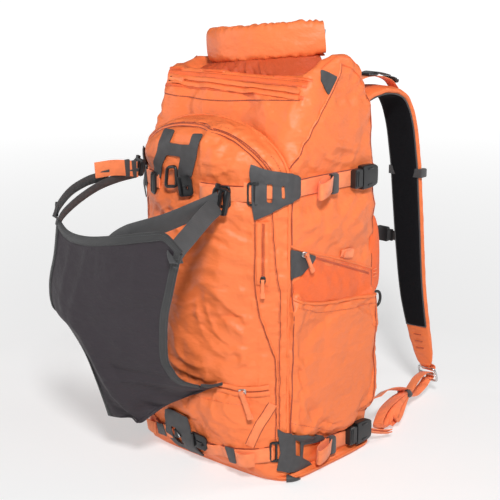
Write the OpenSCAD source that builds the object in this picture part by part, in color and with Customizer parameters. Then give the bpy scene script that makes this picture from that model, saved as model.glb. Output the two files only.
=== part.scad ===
/* [Pack body] */
// Width of the pack body across the side panels
body_w = 300; // [280:5:320]
// Thickness of the body fabric with its lining and foam
wall = 3; // [2:0.5:4]
// Depth of the front pocket at its deepest, ahead of the body
pocket_depth = 65; // [50:5:75]
// Thickness of the front pocket and side pocket fabric
pocket_wall = 2.5; // [2:0.5:3]
// How far each side pocket stands out from the side panel
side_pocket_depth = 12; // [10:1:16]
// Thickness of the base plate
base_t = 6; // [4:1:8]

/* [Roll top] */
// Outer radius of the curve that the rolled collar follows
roll_r = 158; // [150:1:170]
// Thickness of the rolled collar, front to back
roll_t = 36; // [30:1:44]
// Height of the rolled collar
roll_h = 60; // [50:1:62]
// How far the right end of the roll sits higher, in degrees
roll_tilt = 4; // [0:1:5]

/* [Straps and webbing] */
// Width of the shoulder straps
strap_w = 70; // [60:2:76]
// Thickness of the shoulder straps
strap_t = 14; // [10:1:16]
// Width of the compression webbing
web_w = 25; // [20:1:25]
// Thickness of the webbing
web_t = 2; // [1.5:0.1:2]
// Height of the upper compression straps
upper_strap_z = 457; // [450:1:460]
// Height of the lower compression straps
lower_strap_z = 33; // [32:1:34]

/* [Zips and patches] */
// Width of a zip chain
zip_w = 8; // [6:1:8]
// Thickness of a hypalon patch
patch_t = 2; // [1.5:0.1:2]

/* [Hidden] */

gap = 0.3;
half_w = body_w / 2;
front = -105;
orange = [0.93, 0.36, 0.18];
charcoal = [0.13, 0.13, 0.14];
coal = [0.2, 0.2, 0.21];

// Side profile of the body, as (y, z): up the back, over the top, down the front
body_profile = [[95, base_t], [99, 76], [105, 330], [105, 445], [100, 500], [76, 590], [45, 616],
  [-60, 612], [front, 480], [front, base_t]];
// The face that leans back at the top of the front
lean_low = [front, 480];
lean_high = [-60, 612];
lean = atan((lean_high[0] - lean_low[0]) / (lean_high[1] - lean_low[1]));

// Front pocket: crowned across, arched at the top, drawn in at the foot
crown_power = 2.8;
arch_z = 470;
arch_rise = 86;
function front_y(x) = front - pocket_depth * (1 - pow(abs(x) / half_w, crown_power));
function front_turn(x) = atan(pocket_depth * crown_power / half_w * pow(abs(x) / half_w, crown_power - 1));
function arch(t) = concat([[half_w - t, base_t + t]],
  [for (a = [0:10:180]) [(half_w - t) * cos(a), arch_z + (arch_rise - t) * sin(a)]],
  [[t - half_w, base_t + t]]);
function crown(t, back) = concat([[t - half_w, back]],
  [for (i = [-10:10]) let (u = sign(i) * pow(abs(i) / 10, 0.8))
    [u * (half_w - t), front - (pocket_depth - t) * (1 - pow(abs(u), crown_power))]],
  [[half_w - t, back]]);
deep = front - pocket_depth;
function foot(back) = [[back, base_t], [back, 560], [-150, 556], [deep + 6, 545], [deep, 520], [deep, 90],
  [-150, 40], [-132, base_t]];

// Outline helpers
function unit(v) = v / norm(v);
function left_of(a, b) = let (d = unit(b - a)) [-d[1], d[0]];
function inset(p, t) = [for (i = [0:len(p) - 1])
  let (n = len(p), m = left_of(p[(i + n - 1) % n], p[i]), k = left_of(p[i], p[(i + 1) % n]))
  p[i] + t * (m + k) / (1 + m * k)];
function backwards(p) = [for (i = [len(p) - 1:-1:0]) p[i]];

// A (y, z) outline made thick along X, starting at x
module side_plate(points, x, t) {
  translate([x, 0, 0]) rotate([90, 0, 90]) linear_extrude(t) polygon(points);
}
// An (x, z) outline made thick towards the front, starting at y
module front_plate(points, y, t) {
  translate([0, y, 0]) rotate([90, 0, 0]) linear_extrude(t) polygon(points);
}
module both_sides() {
  children();
  mirror([1, 0, 0]) children();
}
module slab(low, high) {
  translate(low) cube(high - low);
}
// A band that lies on the crowned front from x0 to x1, lifted off it by lift
module front_band(x0, x1, z0, z1, lift, t) {
  steps = 8;
  xs = [for (i = [0:steps]) x0 + (x1 - x0) * i / steps];
  outer = [for (x = xs) [x + (lift + t) * sin(front_turn(x)), front_y(x) - (lift + t) * cos(front_turn(x))]];
  inner = [for (x = xs) [x + lift * sin(front_turn(x)), front_y(x) - lift * cos(front_turn(x))]];
  translate([0, 0, z0]) linear_extrude(z1 - z0) polygon(concat(outer, backwards(inner)));
}
// A strip whose rings are [left x, right x, y, z], t thick to its right-hand side
module ribbon(rings, t) {
  n = len(rings);
  dirs = [for (i = [0:n - 1])
    let (a = rings[max(0, i - 1)], b = rings[min(n - 1, i + 1)]) unit([b[2] - a[2], b[3] - a[3]])];
  points = [for (i = [0:n - 1]) let (r = rings[i], d = dirs[i], oy = d[1] * t / 2, oz = -d[0] * t / 2)
    each [[r[0], r[2] - oy, r[3] - oz], [r[1], r[2] - oy, r[3] - oz],
          [r[1], r[2] + oy, r[3] + oz], [r[0], r[2] + oy, r[3] + oz]]];
  sides = [for (i = [0:n - 2], k = [0:3])
    [4 * i + k, 4 * i + 4 + k, 4 * i + 4 + (k + 1) % 4, 4 * i + (k + 1) % 4]];
  last = 4 * (n - 1);
  polyhedron(points, concat([[0, 1, 2, 3]], sides, [[last + 3, last + 2, last + 1, last]]));
}
function even_strip(path, w) = [for (p = path) [p[0] - w / 2, p[0] + w / 2, p[1], p[2]]];

// ---- Body ----
module main_shell() color(orange) difference() {
  side_plate(body_profile, -half_w, body_w);
  side_plate(inset(body_profile, wall), wall - half_w, body_w - 2 * wall);
  slab([-120, -52, 590], [120, 38, 640]);
}
module base_panel() color(orange) linear_extrude(base_t) polygon([[-146, 95], [-160, 60],
  [-160, -85], [-150, -116], [-92, -129], [92, -129], [150, -116], [160, -85], [160, 60], [146, 95]]);
module corner_guards() color(charcoal) both_sides()
  front_plate([[150.3, base_t], [158, base_t], [154, 15], [150.3, 15]], -85, 60);
module pocket_mass(t, back) {
  intersection() {
    front_plate(arch(t), back, 90);
    linear_extrude(600) polygon(crown(t, back));
    side_plate(inset(foot(back + t), t), -half_w, body_w);
  }
}
front_zip_x = 122;
front_zip_low = 315;
front_zip_high = 414;
module front_pocket_shell() color(orange) difference() {
  pocket_mass(0, front);
  pocket_mass(pocket_wall, front + 3);
  at_front_zip(0) slab([0, -zip_w / 2 - gap, -12], [front_zip_high - front_zip_low, zip_w / 2 + gap, 6]);
  front_band(-74, 62, 142, 152, -14, 20);
}
module collar() color(orange) difference() {
  translate([0, -7, 600]) linear_extrude(60) square([239.8, 89.8], center = true);
  translate([0, -7, 590]) linear_extrude(80) square([234, 84], center = true);
  translate([0, 0, 622]) rotate([0, -roll_tilt, 0]) translate([-200, -100, 0]) cube([400, 200, 80]);
}
module side_pockets() color(orange) both_sides() difference() {
  rim = [[-104, 294], [-57, 275], [29, 265], [104, 253]];
  foot_line = [[99, 78], [36, 51], [-28, 59], [-101, 88]];
  side_plate(backwards(concat(rim, foot_line)), half_w, side_pocket_depth);
  side_plate([[-101, 320], [-98.5, 92], [-28, 62], [36, 54], [96, 80], [101, 320]], half_w - 1,
    side_pocket_depth - pocket_wall + 1);
}

// ---- Back and frame ----
module back_panel() color(coal) side_plate([[99.9, 110], [105.3, 330], [105.3, 445], [101.6, 488],
  [105, 488], [109, 445], [109, 330], [104, 110]], -105, 210);
module back_pads() color(charcoal) both_sides() side_plate([[105.2, 130], [109.3, 330], [109.3, 446],
  [106.8, 472], [112, 472], [122, 440], [122, 330], [118, 130]], 25, 72);
module lumbar_pad() color(charcoal) difference() {
  side_plate([[100.4, 30], [101, 104], [126, 98], [128, 60], [122, 30]], -95, 190);
  slab([-100, 106, 40], [100, 113, 94]);
}
module frame_sheet() color([0.85, 0.85, 0.83]) slab([-120, 87, 30], [120, 88.6, 520]);
module frame_stays() color("silver") both_sides() slab([50, 83.8, 30], [62, 86.9, 520]);

// ---- Patches ----
module seam_patches() color(charcoal) both_sides() {
  side_plate([[-102, 318], [-46, 342], [-77, 354], [-104, 362]], half_w, patch_t);
  side_plate([[-76, 575], [-60, 606], [-34, 596], [-52, 566]], half_w, patch_t);
}
module ladder_patch() color(charcoal) difference() {
  front_band(-56, 20, 452, 517, gap, patch_t);
  slab([-36, deep - 9, 440], [-8, deep + 9, 482]);
  slab([-34, deep - 9, 492], [0, deep + 9, 506]);
}
module upper_patches() color(charcoal) both_sides() intersection() {
  linear_extrude(600) polygon(concat([for (i = [0:6]) let (x = 106 + 44 * i / 6)
    [x + 2.4 * sin(front_turn(x)), front_y(x) - 2.4 * cos(front_turn(x))]],
    [[152.4, front - 4], [152.4, -82], [half_w, -82], [half_w, front]],
    [for (i = [6:-1:0]) let (x = 106 + 43 * i / 6)
      [x + 0.3 * sin(front_turn(x)), front_y(x) - 0.3 * cos(front_turn(x))]]));
  side_plate([[-160, 498], [-160, 416], [-120, 420], [-82, 434], [-82, 480], [-120, 494]], 0, 200);
}
claw = [[-104.7, 88.9], [-24, 50], [-52, 16], [-104.7, 18]];
module lower_patches() color(charcoal) {
  both_sides() side_plate(claw, half_w, patch_t);
  side_plate([[deep - gap, 122], [deep - gap, 90], [-150.4, 40.3], [-141, 22], [-142.8, 21], [-152.2, 39.5],
    [deep - gap - patch_t, 89.5], [deep - gap - patch_t, 122]], -56, 46);
}
module strap_bars() color(charcoal) both_sides() {
  for (z = [upper_strap_z, 44]) at_front(98, z) slab([-3, -4.6, -16], [3, -2.5, 16]);
  at_front(68, upper_strap_z - 17) slab([-13, -5, -10], [13, -2.6, 10]);
}
module at_front(x, z) translate([x, front_y(x), z]) rotate([0, 0, front_turn(x)]) children();

// ---- Compression webbing, keepers and buckles ----
strap_levels = [upper_strap_z, lower_strap_z];
seat = half_w + web_t + gap;
module side_webbing(y0, z) {
  slab([half_w, y0, z - web_w / 2], [half_w + web_t, 101, z + web_w / 2]);
  slab([seat, -56, z - web_w / 2], [seat + 4, -22, z + web_w / 2]);
}
// The left front ends stop short of the ladder-lock patches
module upper_front(x0) front_band(x0, 94, upper_strap_z - web_w / 2, upper_strap_z + web_w / 2, gap, web_t);
module upper_webbing() color(orange) {
  upper_front(34);
  mirror([1, 0, 0]) upper_front(58);
  both_sides() side_webbing(-81.5, upper_strap_z);
}
foot_front = [[-155.6, 53], [-150.4, 40], [-144, 28], [-146, 27], [-152.4, 39.2], [-157.7, 52.2]];
module lower_webbing() color(orange) {
  side_plate(foot_front, 28, 64);
  side_plate(foot_front, -92, 34);
  both_sides() side_webbing(-22, lower_strap_z);
}
module strap_keepers() color(charcoal) both_sides() for (z = strap_levels)
  slab([seat, -18, z - 14], [seat + 3, -8, z + 14]);
buckle_mouth = 52;
module buckle_housings() color(charcoal) both_sides() for (z = strap_levels) difference() {
  slab([seat, buckle_mouth, z - 19], [seat + 11.4, 90, z + 19]);
  slab([seat + 2.2, buckle_mouth - 1, z - 14.5], [seat + 9.2, 84, z + 14.5]);
}
module buckle_clip(z) color(charcoal) {
  slab([seat + 0.2, 33, z - 15], [seat + 11, 51.4, z + 15]);
  for (s = [-1, 1])
    slab([seat + 3, 50, z + 9.5 * s - 3.5], [seat + 8.4, 79, z + 9.5 * s + 3.5]);
  slab([seat + 3, 50, z - 2], [seat + 8.4, 70, z + 2]);
}

// ---- Loops on the back of the body ----
tab_y = 111;
handle_y = 93.5;
handle_z = 588;
module anchor_loops() color(charcoal) both_sides() {
  side_plate([[99.8, 58], [100.6, 96], [126, 80], [126, 70]], 128, 3);
  slab([66, 85.3, 556], [92, 97, 574]);
  difference() {
    slab([136, 105.4, 236], [148, 115, 250]);
    translate([142, tab_y, 230]) cylinder(h = 30, r = 2.1, $fn = 32);
  }
  slab([20, 79.5, 582], [30, 90.8, 590]);
}
module haul_handle() color(charcoal) {
  for (s = [-1, 1]) slab([25 * s - 5, handle_y - 1.5, 545], [25 * s + 5, handle_y + 1.5, 590]);
  slab([-30, handle_y - 2.5, 537], [30, handle_y + 2.5, 545]);
}
module d_ring() color(charcoal) {
  translate([142, tab_y, 229]) cylinder(h = 28, r = 1.8, $fn = 32);
  for (z = [229, 253]) slab([140, tab_y, z], [144, 132, z + 4]);
  slab([140, 130, 232], [144, 134, 254]);
}

// ---- Zips ----
// Each zip frame has +X along the chain and +Z out of the fabric
low_zip_x = 98;
low_zip_turn = 22.8;
side_zip_fall = -21.2;
module at_top_zip(x) translate([x, -66.2, 594]) rotate([90 - lean, 0, 0]) children();
module at_front_zip(s) translate([front_zip_x, front_y(front_zip_x), front_zip_low + s])
  rotate([0, 0, 90 + front_turn(front_zip_x)]) rotate([0, -90, 0]) children();
module at_low_zip() translate([low_zip_x, front_y(low_zip_x), 150]) rotate([0, 0, low_zip_turn])
  rotate([90, 0, 0]) children();
module at_side_zip(s) translate([half_w, -84, 362]) rotate([side_zip_fall, 0, 0]) rotate([90, 0, 90])
  translate([s, 0, 0]) children();
module zip_bar(length, t) slab([0, -zip_w / 2, 0], [length, zip_w / 2, t]);
bar_z = 6.8;
module zip_slider(yaw) color("dimgray") {
  slab([-6, -4.5, 0.4], [6, 4.5, 3.2]);
  rotate([0, 0, yaw]) {
    for (s = [-1, 1]) slab([-1.5, 3.6 * s - 0.9, 3], [1.5, 3.6 * s + 0.9, 8]);
    translate([0, -3.5, bar_z]) rotate([-90, 0, 0]) cylinder(h = 7, r = 1.2, $fn = 32);
  }
}
module zip_pull(yaw, length) color(orange) rotate([0, 0, yaw]) difference() {
  union() {
    translate([0, -2.2, bar_z]) rotate([-90, 0, 0]) cylinder(h = 4.4, r = 3, $fn = 32);
    slab([0, -2.2, bar_z - 1.2], [length, 2.2, bar_z + 1.2]);
  }
  translate([0, -4, bar_z]) rotate([-90, 0, 0]) cylinder(h = 8, r = 1.5, $fn = 32);
}
module top_zip() color(charcoal) at_top_zip(-136) zip_bar(272, 1.8);
module front_zip() color(charcoal)
  at_front_zip(gap) translate([0, 0, -1.5]) zip_bar(front_zip_high - front_zip_low - 2 * gap, 3);
module low_pocket_zip() color(charcoal) front_band(64, 112, 146, 154, 0.1, 1.5);
module side_zips() color(charcoal) both_sides() at_side_zip(0) zip_bar(192, 1.6);

// ---- Roll top ----
module roll_frame() translate([0, 0, 657]) rotate([0, -roll_tilt, 0]) children();
roll_y = -50 + roll_r;
module roll_top() color(orange) roll_frame() {
  translate([0, roll_y, 0]) rotate([0, 0, -140]) rotate_extrude(angle = 100, $fn = 96)
    translate([roll_r - roll_t, -roll_h / 2]) square([roll_t, roll_h]);
  for (x = [-94, 44]) slab([x, 31, -8], [x + 50, 33, 12]);
}
module roll_buckle_housing() color(charcoal) roll_frame() difference() {
  slab([-44, 26, -12], [0, 38, 16]);
  slab([-34, 28.5, -9], [1, 35.5, 13]);
}
module roll_buckle_clip() color(charcoal) roll_frame() {
  slab([0.6, 26, -10], [18, 38, 14]);
  for (z = [-4.5, 8.5]) slab([-28, 29.3, z - 3], [1, 34.7, z + 3]);
}

// ---- Shoulder straps: [x, y, z] down the middle of the right one ----
strap_path = [[72, 100, 538], [70, 116, 550], [70, 140, 561], [70, 175, 570], [70, 210, 572],
  [70, 245, 561], [70, 266, 537], [71, 280, 500], [73, 287, 457], [75, 291, 422], [77, 295, 370],
  [83, 310, 220], [87, 327, 136], [90, 339, 92], [92, 345, 68]];
module shoulder_strap() color(orange) ribbon(even_strip(strap_path, strap_w), strap_t);
module strap_hardware() color(charcoal) both_sides() {
  slab([34, 299.4, 413], [116, 303, 429]);
  difference() {
    slab([84, ring_y - 5, ring_z - 5], [100, ring_y + 5, ring_z + 10]);
    translate([80, ring_y, ring_z]) rotate([0, 90, 0]) cylinder(h = 24, r = 2.1, $fn = 32);
  }
}
module harness_webbing() color(orange) both_sides() {
  ribbon(even_strip([[79, 98, 577], [78, 130, 590], [76, 170, 597], [74, 205, 592], [73, 232, 583]], 20), 2);
  ribbon(even_strip([[92, 356, 20], [95, 330, 20], [104, 280, 20], [118, 200, 30], [126, 150, 52],
    [130, 128, 74]], 20), 2);
  slab([134, 128, 4], [146, 176, 36]);
}
ring_y = 348;
ring_z = 51;
module ladder_ring() color("silver") translate([92, ring_y, ring_z]) rotate([-68, 0, 0]) {
  for (y = [0, 14, 28]) translate([-17, y, 0]) rotate([0, 90, 0]) cylinder(h = 34, r = 1.8, $fn = 24);
  for (x = [-18.8, 15.2]) slab([x, -1.8, -1.8], [x + 3.6, 29.8, 1.8]);
}
sternum_z = 295;
sternum_y = 302.3 + strap_t / 2;
module sternum_strap() color(charcoal) {
  both_sides() {
    slab([40, sternum_y + 2, sternum_z - 14], [66, sternum_y + 6, sternum_z + 14]);
    slab([24, sternum_y + 2.6, sternum_z - 9], [40, sternum_y + 4.2, sternum_z + 9]);
  }
  difference() {
    slab([0, sternum_y, sternum_z - 13], [24, sternum_y + 9, sternum_z + 13]);
    slab([-1, sternum_y + 2, sternum_z - 10], [20, sternum_y + 7, sternum_z + 10]);
  }
}
module sternum_clip() color(charcoal) {
  difference() {
    slab([-15, sternum_y, sternum_z - 12], [-0.6, sternum_y + 9, sternum_z + 12]);
    slab([-16, sternum_y + 2, sternum_z - 9.6], [-4, sternum_y + 4.8, sternum_z + 9.6]);
  }
  for (z = [-6, 6])
    slab([-1, sternum_y + 2.8, sternum_z + z - 2.5], [17, sternum_y + 6.2, sternum_z + z + 2.5]);
}

// ---- Helmet holder ----
fold_y = -228;
fold_z = 84;
module holder_root() color(coal) ribbon([[-70, 58, -161, 148], [-70, 58, -175, 146.5],
  [-70, 56, -185, 134], [-72, 52, -205, 112],
  [-75, 46, fold_y + 3, fold_z + 3]], 2.4);
module holder_panel() color(coal) ribbon([[-75, 45, fold_y - 3, fold_z - 1], [-100, 45, -262, 116],
  [-130, 50, -285, 180], [-165, 62, -300, 250], [-178, 86, -307, 310], [-165, 110, -314, 370],
  [-133, 133, -325, 414]], 2.4);
strap_from = [120, -312];
strap_to = [76, -172];
holder_strap_turn = atan2(strap_to[1] - strap_from[1], strap_to[0] - strap_from[0]);
holder_strap_l = norm(strap_to - strap_from);
module at_holder_strap() translate([strap_from[0], strap_from[1], 422]) rotate([0, 0, holder_strap_turn])
  children();
module holder_straps() color(charcoal) both_sides() at_holder_strap()
  slab([4, -1, -14], [holder_strap_l - 3, 1, 14]);
module holder_hooks() color("black") both_sides() at_holder_strap() {
  slab([holder_strap_l - 14, 1.2, -15], [holder_strap_l + 2, 4, 15]);
  slab([0, 1.2, -15], [22, 4, 15]);
}

// ---- Hook clips ----
module ladder_hook() color(charcoal) difference() {
  slab([-30, deep - 6, 446], [14, deep - 3, 474]);
  translate([8, deep - 2, 459]) rotate([90, 0, 0]) cylinder(h = 6, r = 2.5, $fn = 32);
}
module base_hook() color(charcoal) translate([0, 18, 0]) at_front(12, 44) difference() {
  slab([-12, -8, -11], [12, -5, 11]);
  translate([4, -4, 0]) rotate([90, 0, 0]) cylinder(h = 6, r = 2, $fn = 32);
}

main_shell();
base_panel();
corner_guards();
front_pocket_shell();
collar();
back_panel();
back_pads();
lumbar_pad();
frame_sheet();
frame_stays();
side_pockets();
seam_patches();
ladder_patch();
upper_patches();
lower_patches();
strap_bars();
upper_webbing();
lower_webbing();
strap_keepers();
buckle_housings();
anchor_loops();
top_zip();
front_zip();
low_pocket_zip();
side_zips();
holder_root();
buckle_clip(upper_strap_z);  // clip_upper_right
mirror([1, 0, 0]) buckle_clip(upper_strap_z);  // clip_upper_left
buckle_clip(lower_strap_z);  // clip_lower_right
mirror([1, 0, 0]) buckle_clip(lower_strap_z);  // clip_lower_left
roll_top();
roll_buckle_housing();
roll_buckle_clip();
haul_handle();
shoulder_strap();  // shoulder_strap_right
mirror([1, 0, 0]) shoulder_strap();  // shoulder_strap_left
strap_hardware();
harness_webbing();
ladder_ring();  // ring_right
mirror([1, 0, 0]) ladder_ring();  // ring_left
sternum_strap();
sternum_clip();
holder_panel();
holder_straps();
holder_hooks();
d_ring();  // d_ring_right
mirror([1, 0, 0]) d_ring();  // d_ring_left
ladder_hook();
base_hook();
at_top_zip(-128) translate([0, 0, 1.8]) zip_slider(0);  // top_zip_slider
at_front_zip(12) translate([0, 0, 1.5]) zip_slider(180);  // front_zip_slider
at_low_zip() translate([0, 0, 3]) zip_slider(-90);  // low_zip_slider
at_side_zip(8) translate([0, 0, 1.6]) zip_slider(-90);  // side_zip_slider_right
mirror([1, 0, 0]) at_side_zip(8)  // side_zip_slider_left
  translate([0, 0, 1.6]) zip_slider(-90);
at_top_zip(-128) translate([0, 0, 1.8]) zip_pull(0, 30);  // top_zip_pull
at_front_zip(12) translate([0, 0, 1.5]) zip_pull(180, 26);  // front_zip_pull
at_low_zip() translate([0, 0, 3]) zip_pull(-90, 42);  // low_zip_pull
at_side_zip(8) translate([0, 0, 1.6]) zip_pull(-90, 30);  // side_zip_pull_right
mirror([1, 0, 0]) at_side_zip(8)  // side_zip_pull_left
  translate([0, 0, 1.6]) zip_pull(-90, 30);
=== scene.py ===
import math

import bmesh
import bpy
import numpy as np
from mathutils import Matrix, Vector, noise
from mathutils.bvhtree import BVHTree


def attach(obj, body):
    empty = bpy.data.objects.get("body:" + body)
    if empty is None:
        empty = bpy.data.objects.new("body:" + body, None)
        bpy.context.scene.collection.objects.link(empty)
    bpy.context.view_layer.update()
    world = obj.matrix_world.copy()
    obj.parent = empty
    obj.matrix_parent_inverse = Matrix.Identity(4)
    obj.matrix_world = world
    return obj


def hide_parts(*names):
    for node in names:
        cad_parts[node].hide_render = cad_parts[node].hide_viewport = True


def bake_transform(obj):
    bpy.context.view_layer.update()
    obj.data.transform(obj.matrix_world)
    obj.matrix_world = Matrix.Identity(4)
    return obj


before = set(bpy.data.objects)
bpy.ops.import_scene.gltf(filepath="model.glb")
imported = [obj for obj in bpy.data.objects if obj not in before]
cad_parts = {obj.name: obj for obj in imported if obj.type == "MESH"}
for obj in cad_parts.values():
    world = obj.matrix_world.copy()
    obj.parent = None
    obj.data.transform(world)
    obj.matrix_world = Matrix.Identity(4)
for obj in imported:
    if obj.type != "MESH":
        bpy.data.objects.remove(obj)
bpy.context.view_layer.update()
MM = 0.001
LENS = 93.43
SENSOR = 36.0
CAMERA_PLACE = (1.348, -1.5131, 0.8644)
CAMERA_AIM = (-0.0678, 0.0474, 0.3021)
FLOOR_HALF = 40.0
FLOOR_Z = -0.0005
WORLD_STRENGTH = 0.15
LIGHTS = (("key", (1.95, -1.9, 2.5), (0, 0, 0.3), 0.6, 112),
          ("fill", (-2.2, -1.6, 1.2), (0, 0, 0.3), 1.6, 16),
          ("rim", (1.5, 1.9, 2.1), (0, 0, 0.35), 0.8, 18))


def new_object(name, data):
    obj = bpy.data.objects.new(name, data)
    bpy.context.collection.objects.link(obj)
    return obj


# ---------------------------------------------------------------- camera, light and floor
def make_camera():
    data = bpy.data.cameras.new("camera")
    data.lens = LENS
    data.sensor_width = SENSOR
    camera = new_object("camera", data)
    camera.location = CAMERA_PLACE
    aim = Vector(CAMERA_AIM) - camera.location
    camera.rotation_euler = aim.to_track_quat("-Z", "Y").to_euler()
    bpy.context.scene.camera = camera


def area_light(name, place, target, size, power):
    data = bpy.data.lights.new(name, "AREA")
    data.shape = "DISK"
    data.size = size
    data.energy = power
    lamp = new_object(name, data)
    lamp.location = place
    lamp.rotation_euler = (Vector(target) - Vector(place)).to_track_quat("-Z", "Y").to_euler()


def glow_with_distance(tree, shader):
    """The floor glows a little more far away, so that it stays white to the edge of the view."""
    place = tree.nodes.new("ShaderNodeTexCoord")
    reach = tree.nodes.new("ShaderNodeVectorMath")
    reach.operation = "LENGTH"
    glow = tree.nodes.new("ShaderNodeMapRange")
    glow.inputs["From Min"].default_value = 0.7
    glow.inputs["From Max"].default_value = 4.0
    glow.inputs["To Min"].default_value = 0.46
    glow.inputs["To Max"].default_value = 1.0
    tree.links.new(place.outputs["Object"], reach.inputs[0])
    tree.links.new(reach.outputs["Value"], glow.inputs["Value"])
    tree.links.new(glow.outputs["Result"], shader.inputs["Emission Strength"])


def make_stage():
    world = bpy.data.worlds.new("studio")
    world.use_nodes = True
    background = world.node_tree.nodes["Background"]
    background.inputs["Color"].default_value = (1.0, 1.0, 1.0, 1.0)
    background.inputs["Strength"].default_value = WORLD_STRENGTH
    bpy.context.scene.world = world
    bpy.context.scene.view_settings.view_transform = "Standard"
    for name, place, target, size, power in LIGHTS:
        area_light(name, place, target, size, power)
    material = bpy.data.materials.new("pale_floor")
    material.use_nodes = True
    shader = material.node_tree.nodes["Principled BSDF"]
    shader.inputs["Base Color"].default_value = (0.5, 0.5, 0.5, 1)
    shader.inputs["Emission Color"].default_value = (1.0, 1.0, 1.0, 1)
    glow_with_distance(material.node_tree, shader)
    shader.inputs["Roughness"].default_value = 0.75
    mesh = bpy.data.meshes.new("floor")
    r = FLOOR_HALF
    mesh.from_pydata([(-r, -r, 0), (r, -r, 0), (r, r, 0), (-r, r, 0)], [], [(0, 1, 2, 3)])
    mesh.materials.append(material)
    floor = new_object("floor", mesh)
    floor.location.z = FLOOR_Z


make_camera()
make_stage()


# ---------------------------------------------------------------- materials
class Nodes:
    """Short names for building one material's node tree."""

    def __init__(self, name, color, roughness):
        self.material = bpy.data.materials.new(name)
        self.material.use_nodes = True
        self.tree = self.material.node_tree
        self.shader = self.tree.nodes["Principled BSDF"]
        self.shader.inputs["Base Color"].default_value = (*color, 1)
        self.shader.inputs["Roughness"].default_value = roughness
        self.place = self.add("ShaderNodeTexCoord").outputs["Object"]

    def add(self, kind, **settings):
        node = self.tree.nodes.new(kind)
        for key, value in settings.items():
            setattr(node, key, value)
        return node

    def link(self, a, b):
        self.tree.links.new(a, b)

    def noise(self, scale, detail=3.0, stretch=(1, 1, 1)):
        mapping = self.add("ShaderNodeMapping")
        mapping.inputs["Scale"].default_value = stretch
        self.link(self.place, mapping.inputs["Vector"])
        texture = self.add("ShaderNodeTexNoise")
        texture.inputs["Scale"].default_value = scale
        texture.inputs["Detail"].default_value = detail
        self.link(mapping.outputs["Vector"], texture.inputs["Vector"])
        return texture.outputs["Fac"]

    def creases(self, scale, width, stretch=(1, 1, 1)):
        """Thin folds along the middle lines of a noise: 1 away from a fold, 0 in it."""
        gap = self.math("ABSOLUTE", self.math("SUBTRACT", self.noise(scale, 1.5, stretch), 0.5), 0.0)
        spread = self.add("ShaderNodeMapRange", interpolation_type="SMOOTHSTEP")
        spread.inputs["From Max"].default_value = width
        self.link(gap, spread.inputs["Value"])
        return spread.outputs["Result"]

    def threads(self, pitch, axis):
        """Sine ridges across one axis, pitch metres apart."""
        wave = self.add("ShaderNodeTexWave", wave_type="BANDS", bands_direction=axis, wave_profile="SIN")
        wave.inputs["Scale"].default_value = 0.314 / pitch
        wave.inputs["Distortion"].default_value = 0.35
        wave.inputs["Detail"].default_value = 1.0
        self.link(self.place, wave.inputs["Vector"])
        return wave.outputs["Fac"]

    def math(self, operation, a, b):
        node = self.add("ShaderNodeMath", operation=operation)
        for socket, value in zip(node.inputs, (a, b)):
            if isinstance(value, (int, float)):
                socket.default_value = value
            else:
                self.link(value, socket)
        return node.outputs["Value"]

    def colors(self, fac, stops):
        """Base colour by a factor, through stops of (place, colour)."""
        table = self.add("ShaderNodeValToRGB")
        while len(table.color_ramp.elements) < len(stops):
            table.color_ramp.elements.new(0.5)
        for element, (place, color) in zip(table.color_ramp.elements, stops):
            element.position = place
            element.color = (*color, 1)
        self.link(fac, table.inputs["Fac"])
        self.link(table.outputs["Color"], self.shader.inputs["Base Color"])

    def rough(self, fac, low, high):
        spread = self.add("ShaderNodeMapRange")
        spread.inputs["To Min"].default_value = low
        spread.inputs["To Max"].default_value = high
        self.link(fac, spread.inputs["Value"])
        self.link(spread.outputs["Result"], self.shader.inputs["Roughness"])

    def bumps(self, *layers):
        """Layers of (height, strength, distance in metres)."""
        last = None
        for height, strength, distance in layers:
            bump = self.add("ShaderNodeBump")
            bump.inputs["Strength"].default_value = strength
            bump.inputs["Distance"].default_value = distance
            self.link(height, bump.inputs["Height"])
            if last is not None:
                self.link(last, bump.inputs["Normal"])
            last = bump.outputs["Normal"]
        self.link(last, self.shader.inputs["Normal"])


def shade(color, k):
    return tuple(min(1.0, c * k) for c in color)


def fabric(name, color, roughness, pitch, weave=0.25, crease=0.16):
    """Coated nylon: fine threads three ways, soft colour clouds, dents and faint creases."""
    n = Nodes(name, color, roughness)
    n.colors(n.noise(6.0, 4.0), [(0.3, shade(color, 0.93)), (0.55, color), (0.75, shade(color, 1.05))])
    n.rough(n.noise(35.0, 3.0), roughness - 0.07, roughness + 0.08)
    grid = n.math("MULTIPLY", n.threads(pitch, "X"), n.threads(pitch, "Z"))
    across = n.math("ADD", grid, n.threads(pitch, "Y"))
    n.bumps((n.noise(8.0, 3.0, (1, 1, 0.8)), 0.8, 0.018),
            (n.noise(24.0, 5.0, (1, 1, 1.6)), 0.9, 0.0065),
            (n.creases(7.0, 0.05, (0.6, 0.6, 2.2)), crease, 0.003),
            (n.noise(60.0, 2.0, (0.35, 0.35, 1.6)), 0.4, 0.0016),
            (n.noise(120.0, 3.0), 0.3, 0.0006),
            (across, weave, 0.00012))
    n.shader.inputs["Specular IOR Level"].default_value = 0.35
    return n.material


def webbing(name, color, pitch=0.0011):
    """Woven nylon tape: a herringbone of two thread directions."""
    n = Nodes(name, color, 0.72)
    n.colors(n.noise(60.0, 3.0), [(0.3, shade(color, 0.86)), (0.7, shade(color, 1.08))])
    weave = n.math("ADD", n.threads(pitch, "DIAGONAL"), n.threads(pitch, "Z"))
    n.bumps((weave, 0.5, 0.0003), (n.noise(500.0, 2.0), 0.2, 0.0002))
    n.shader.inputs["Sheen Weight"].default_value = 0.2
    return n.material


def hypalon():
    color = (0.052, 0.051, 0.053)
    n = Nodes("hypalon", color, 0.62)
    n.colors(n.noise(90.0, 4.0), [(0.3, shade(color, 0.9)), (0.7, shade(color, 1.2))])
    n.bumps((n.noise(900.0, 3.0), 0.35, 0.0003), (n.noise(60.0, 2.0), 0.08, 0.0006))
    return n.material


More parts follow.
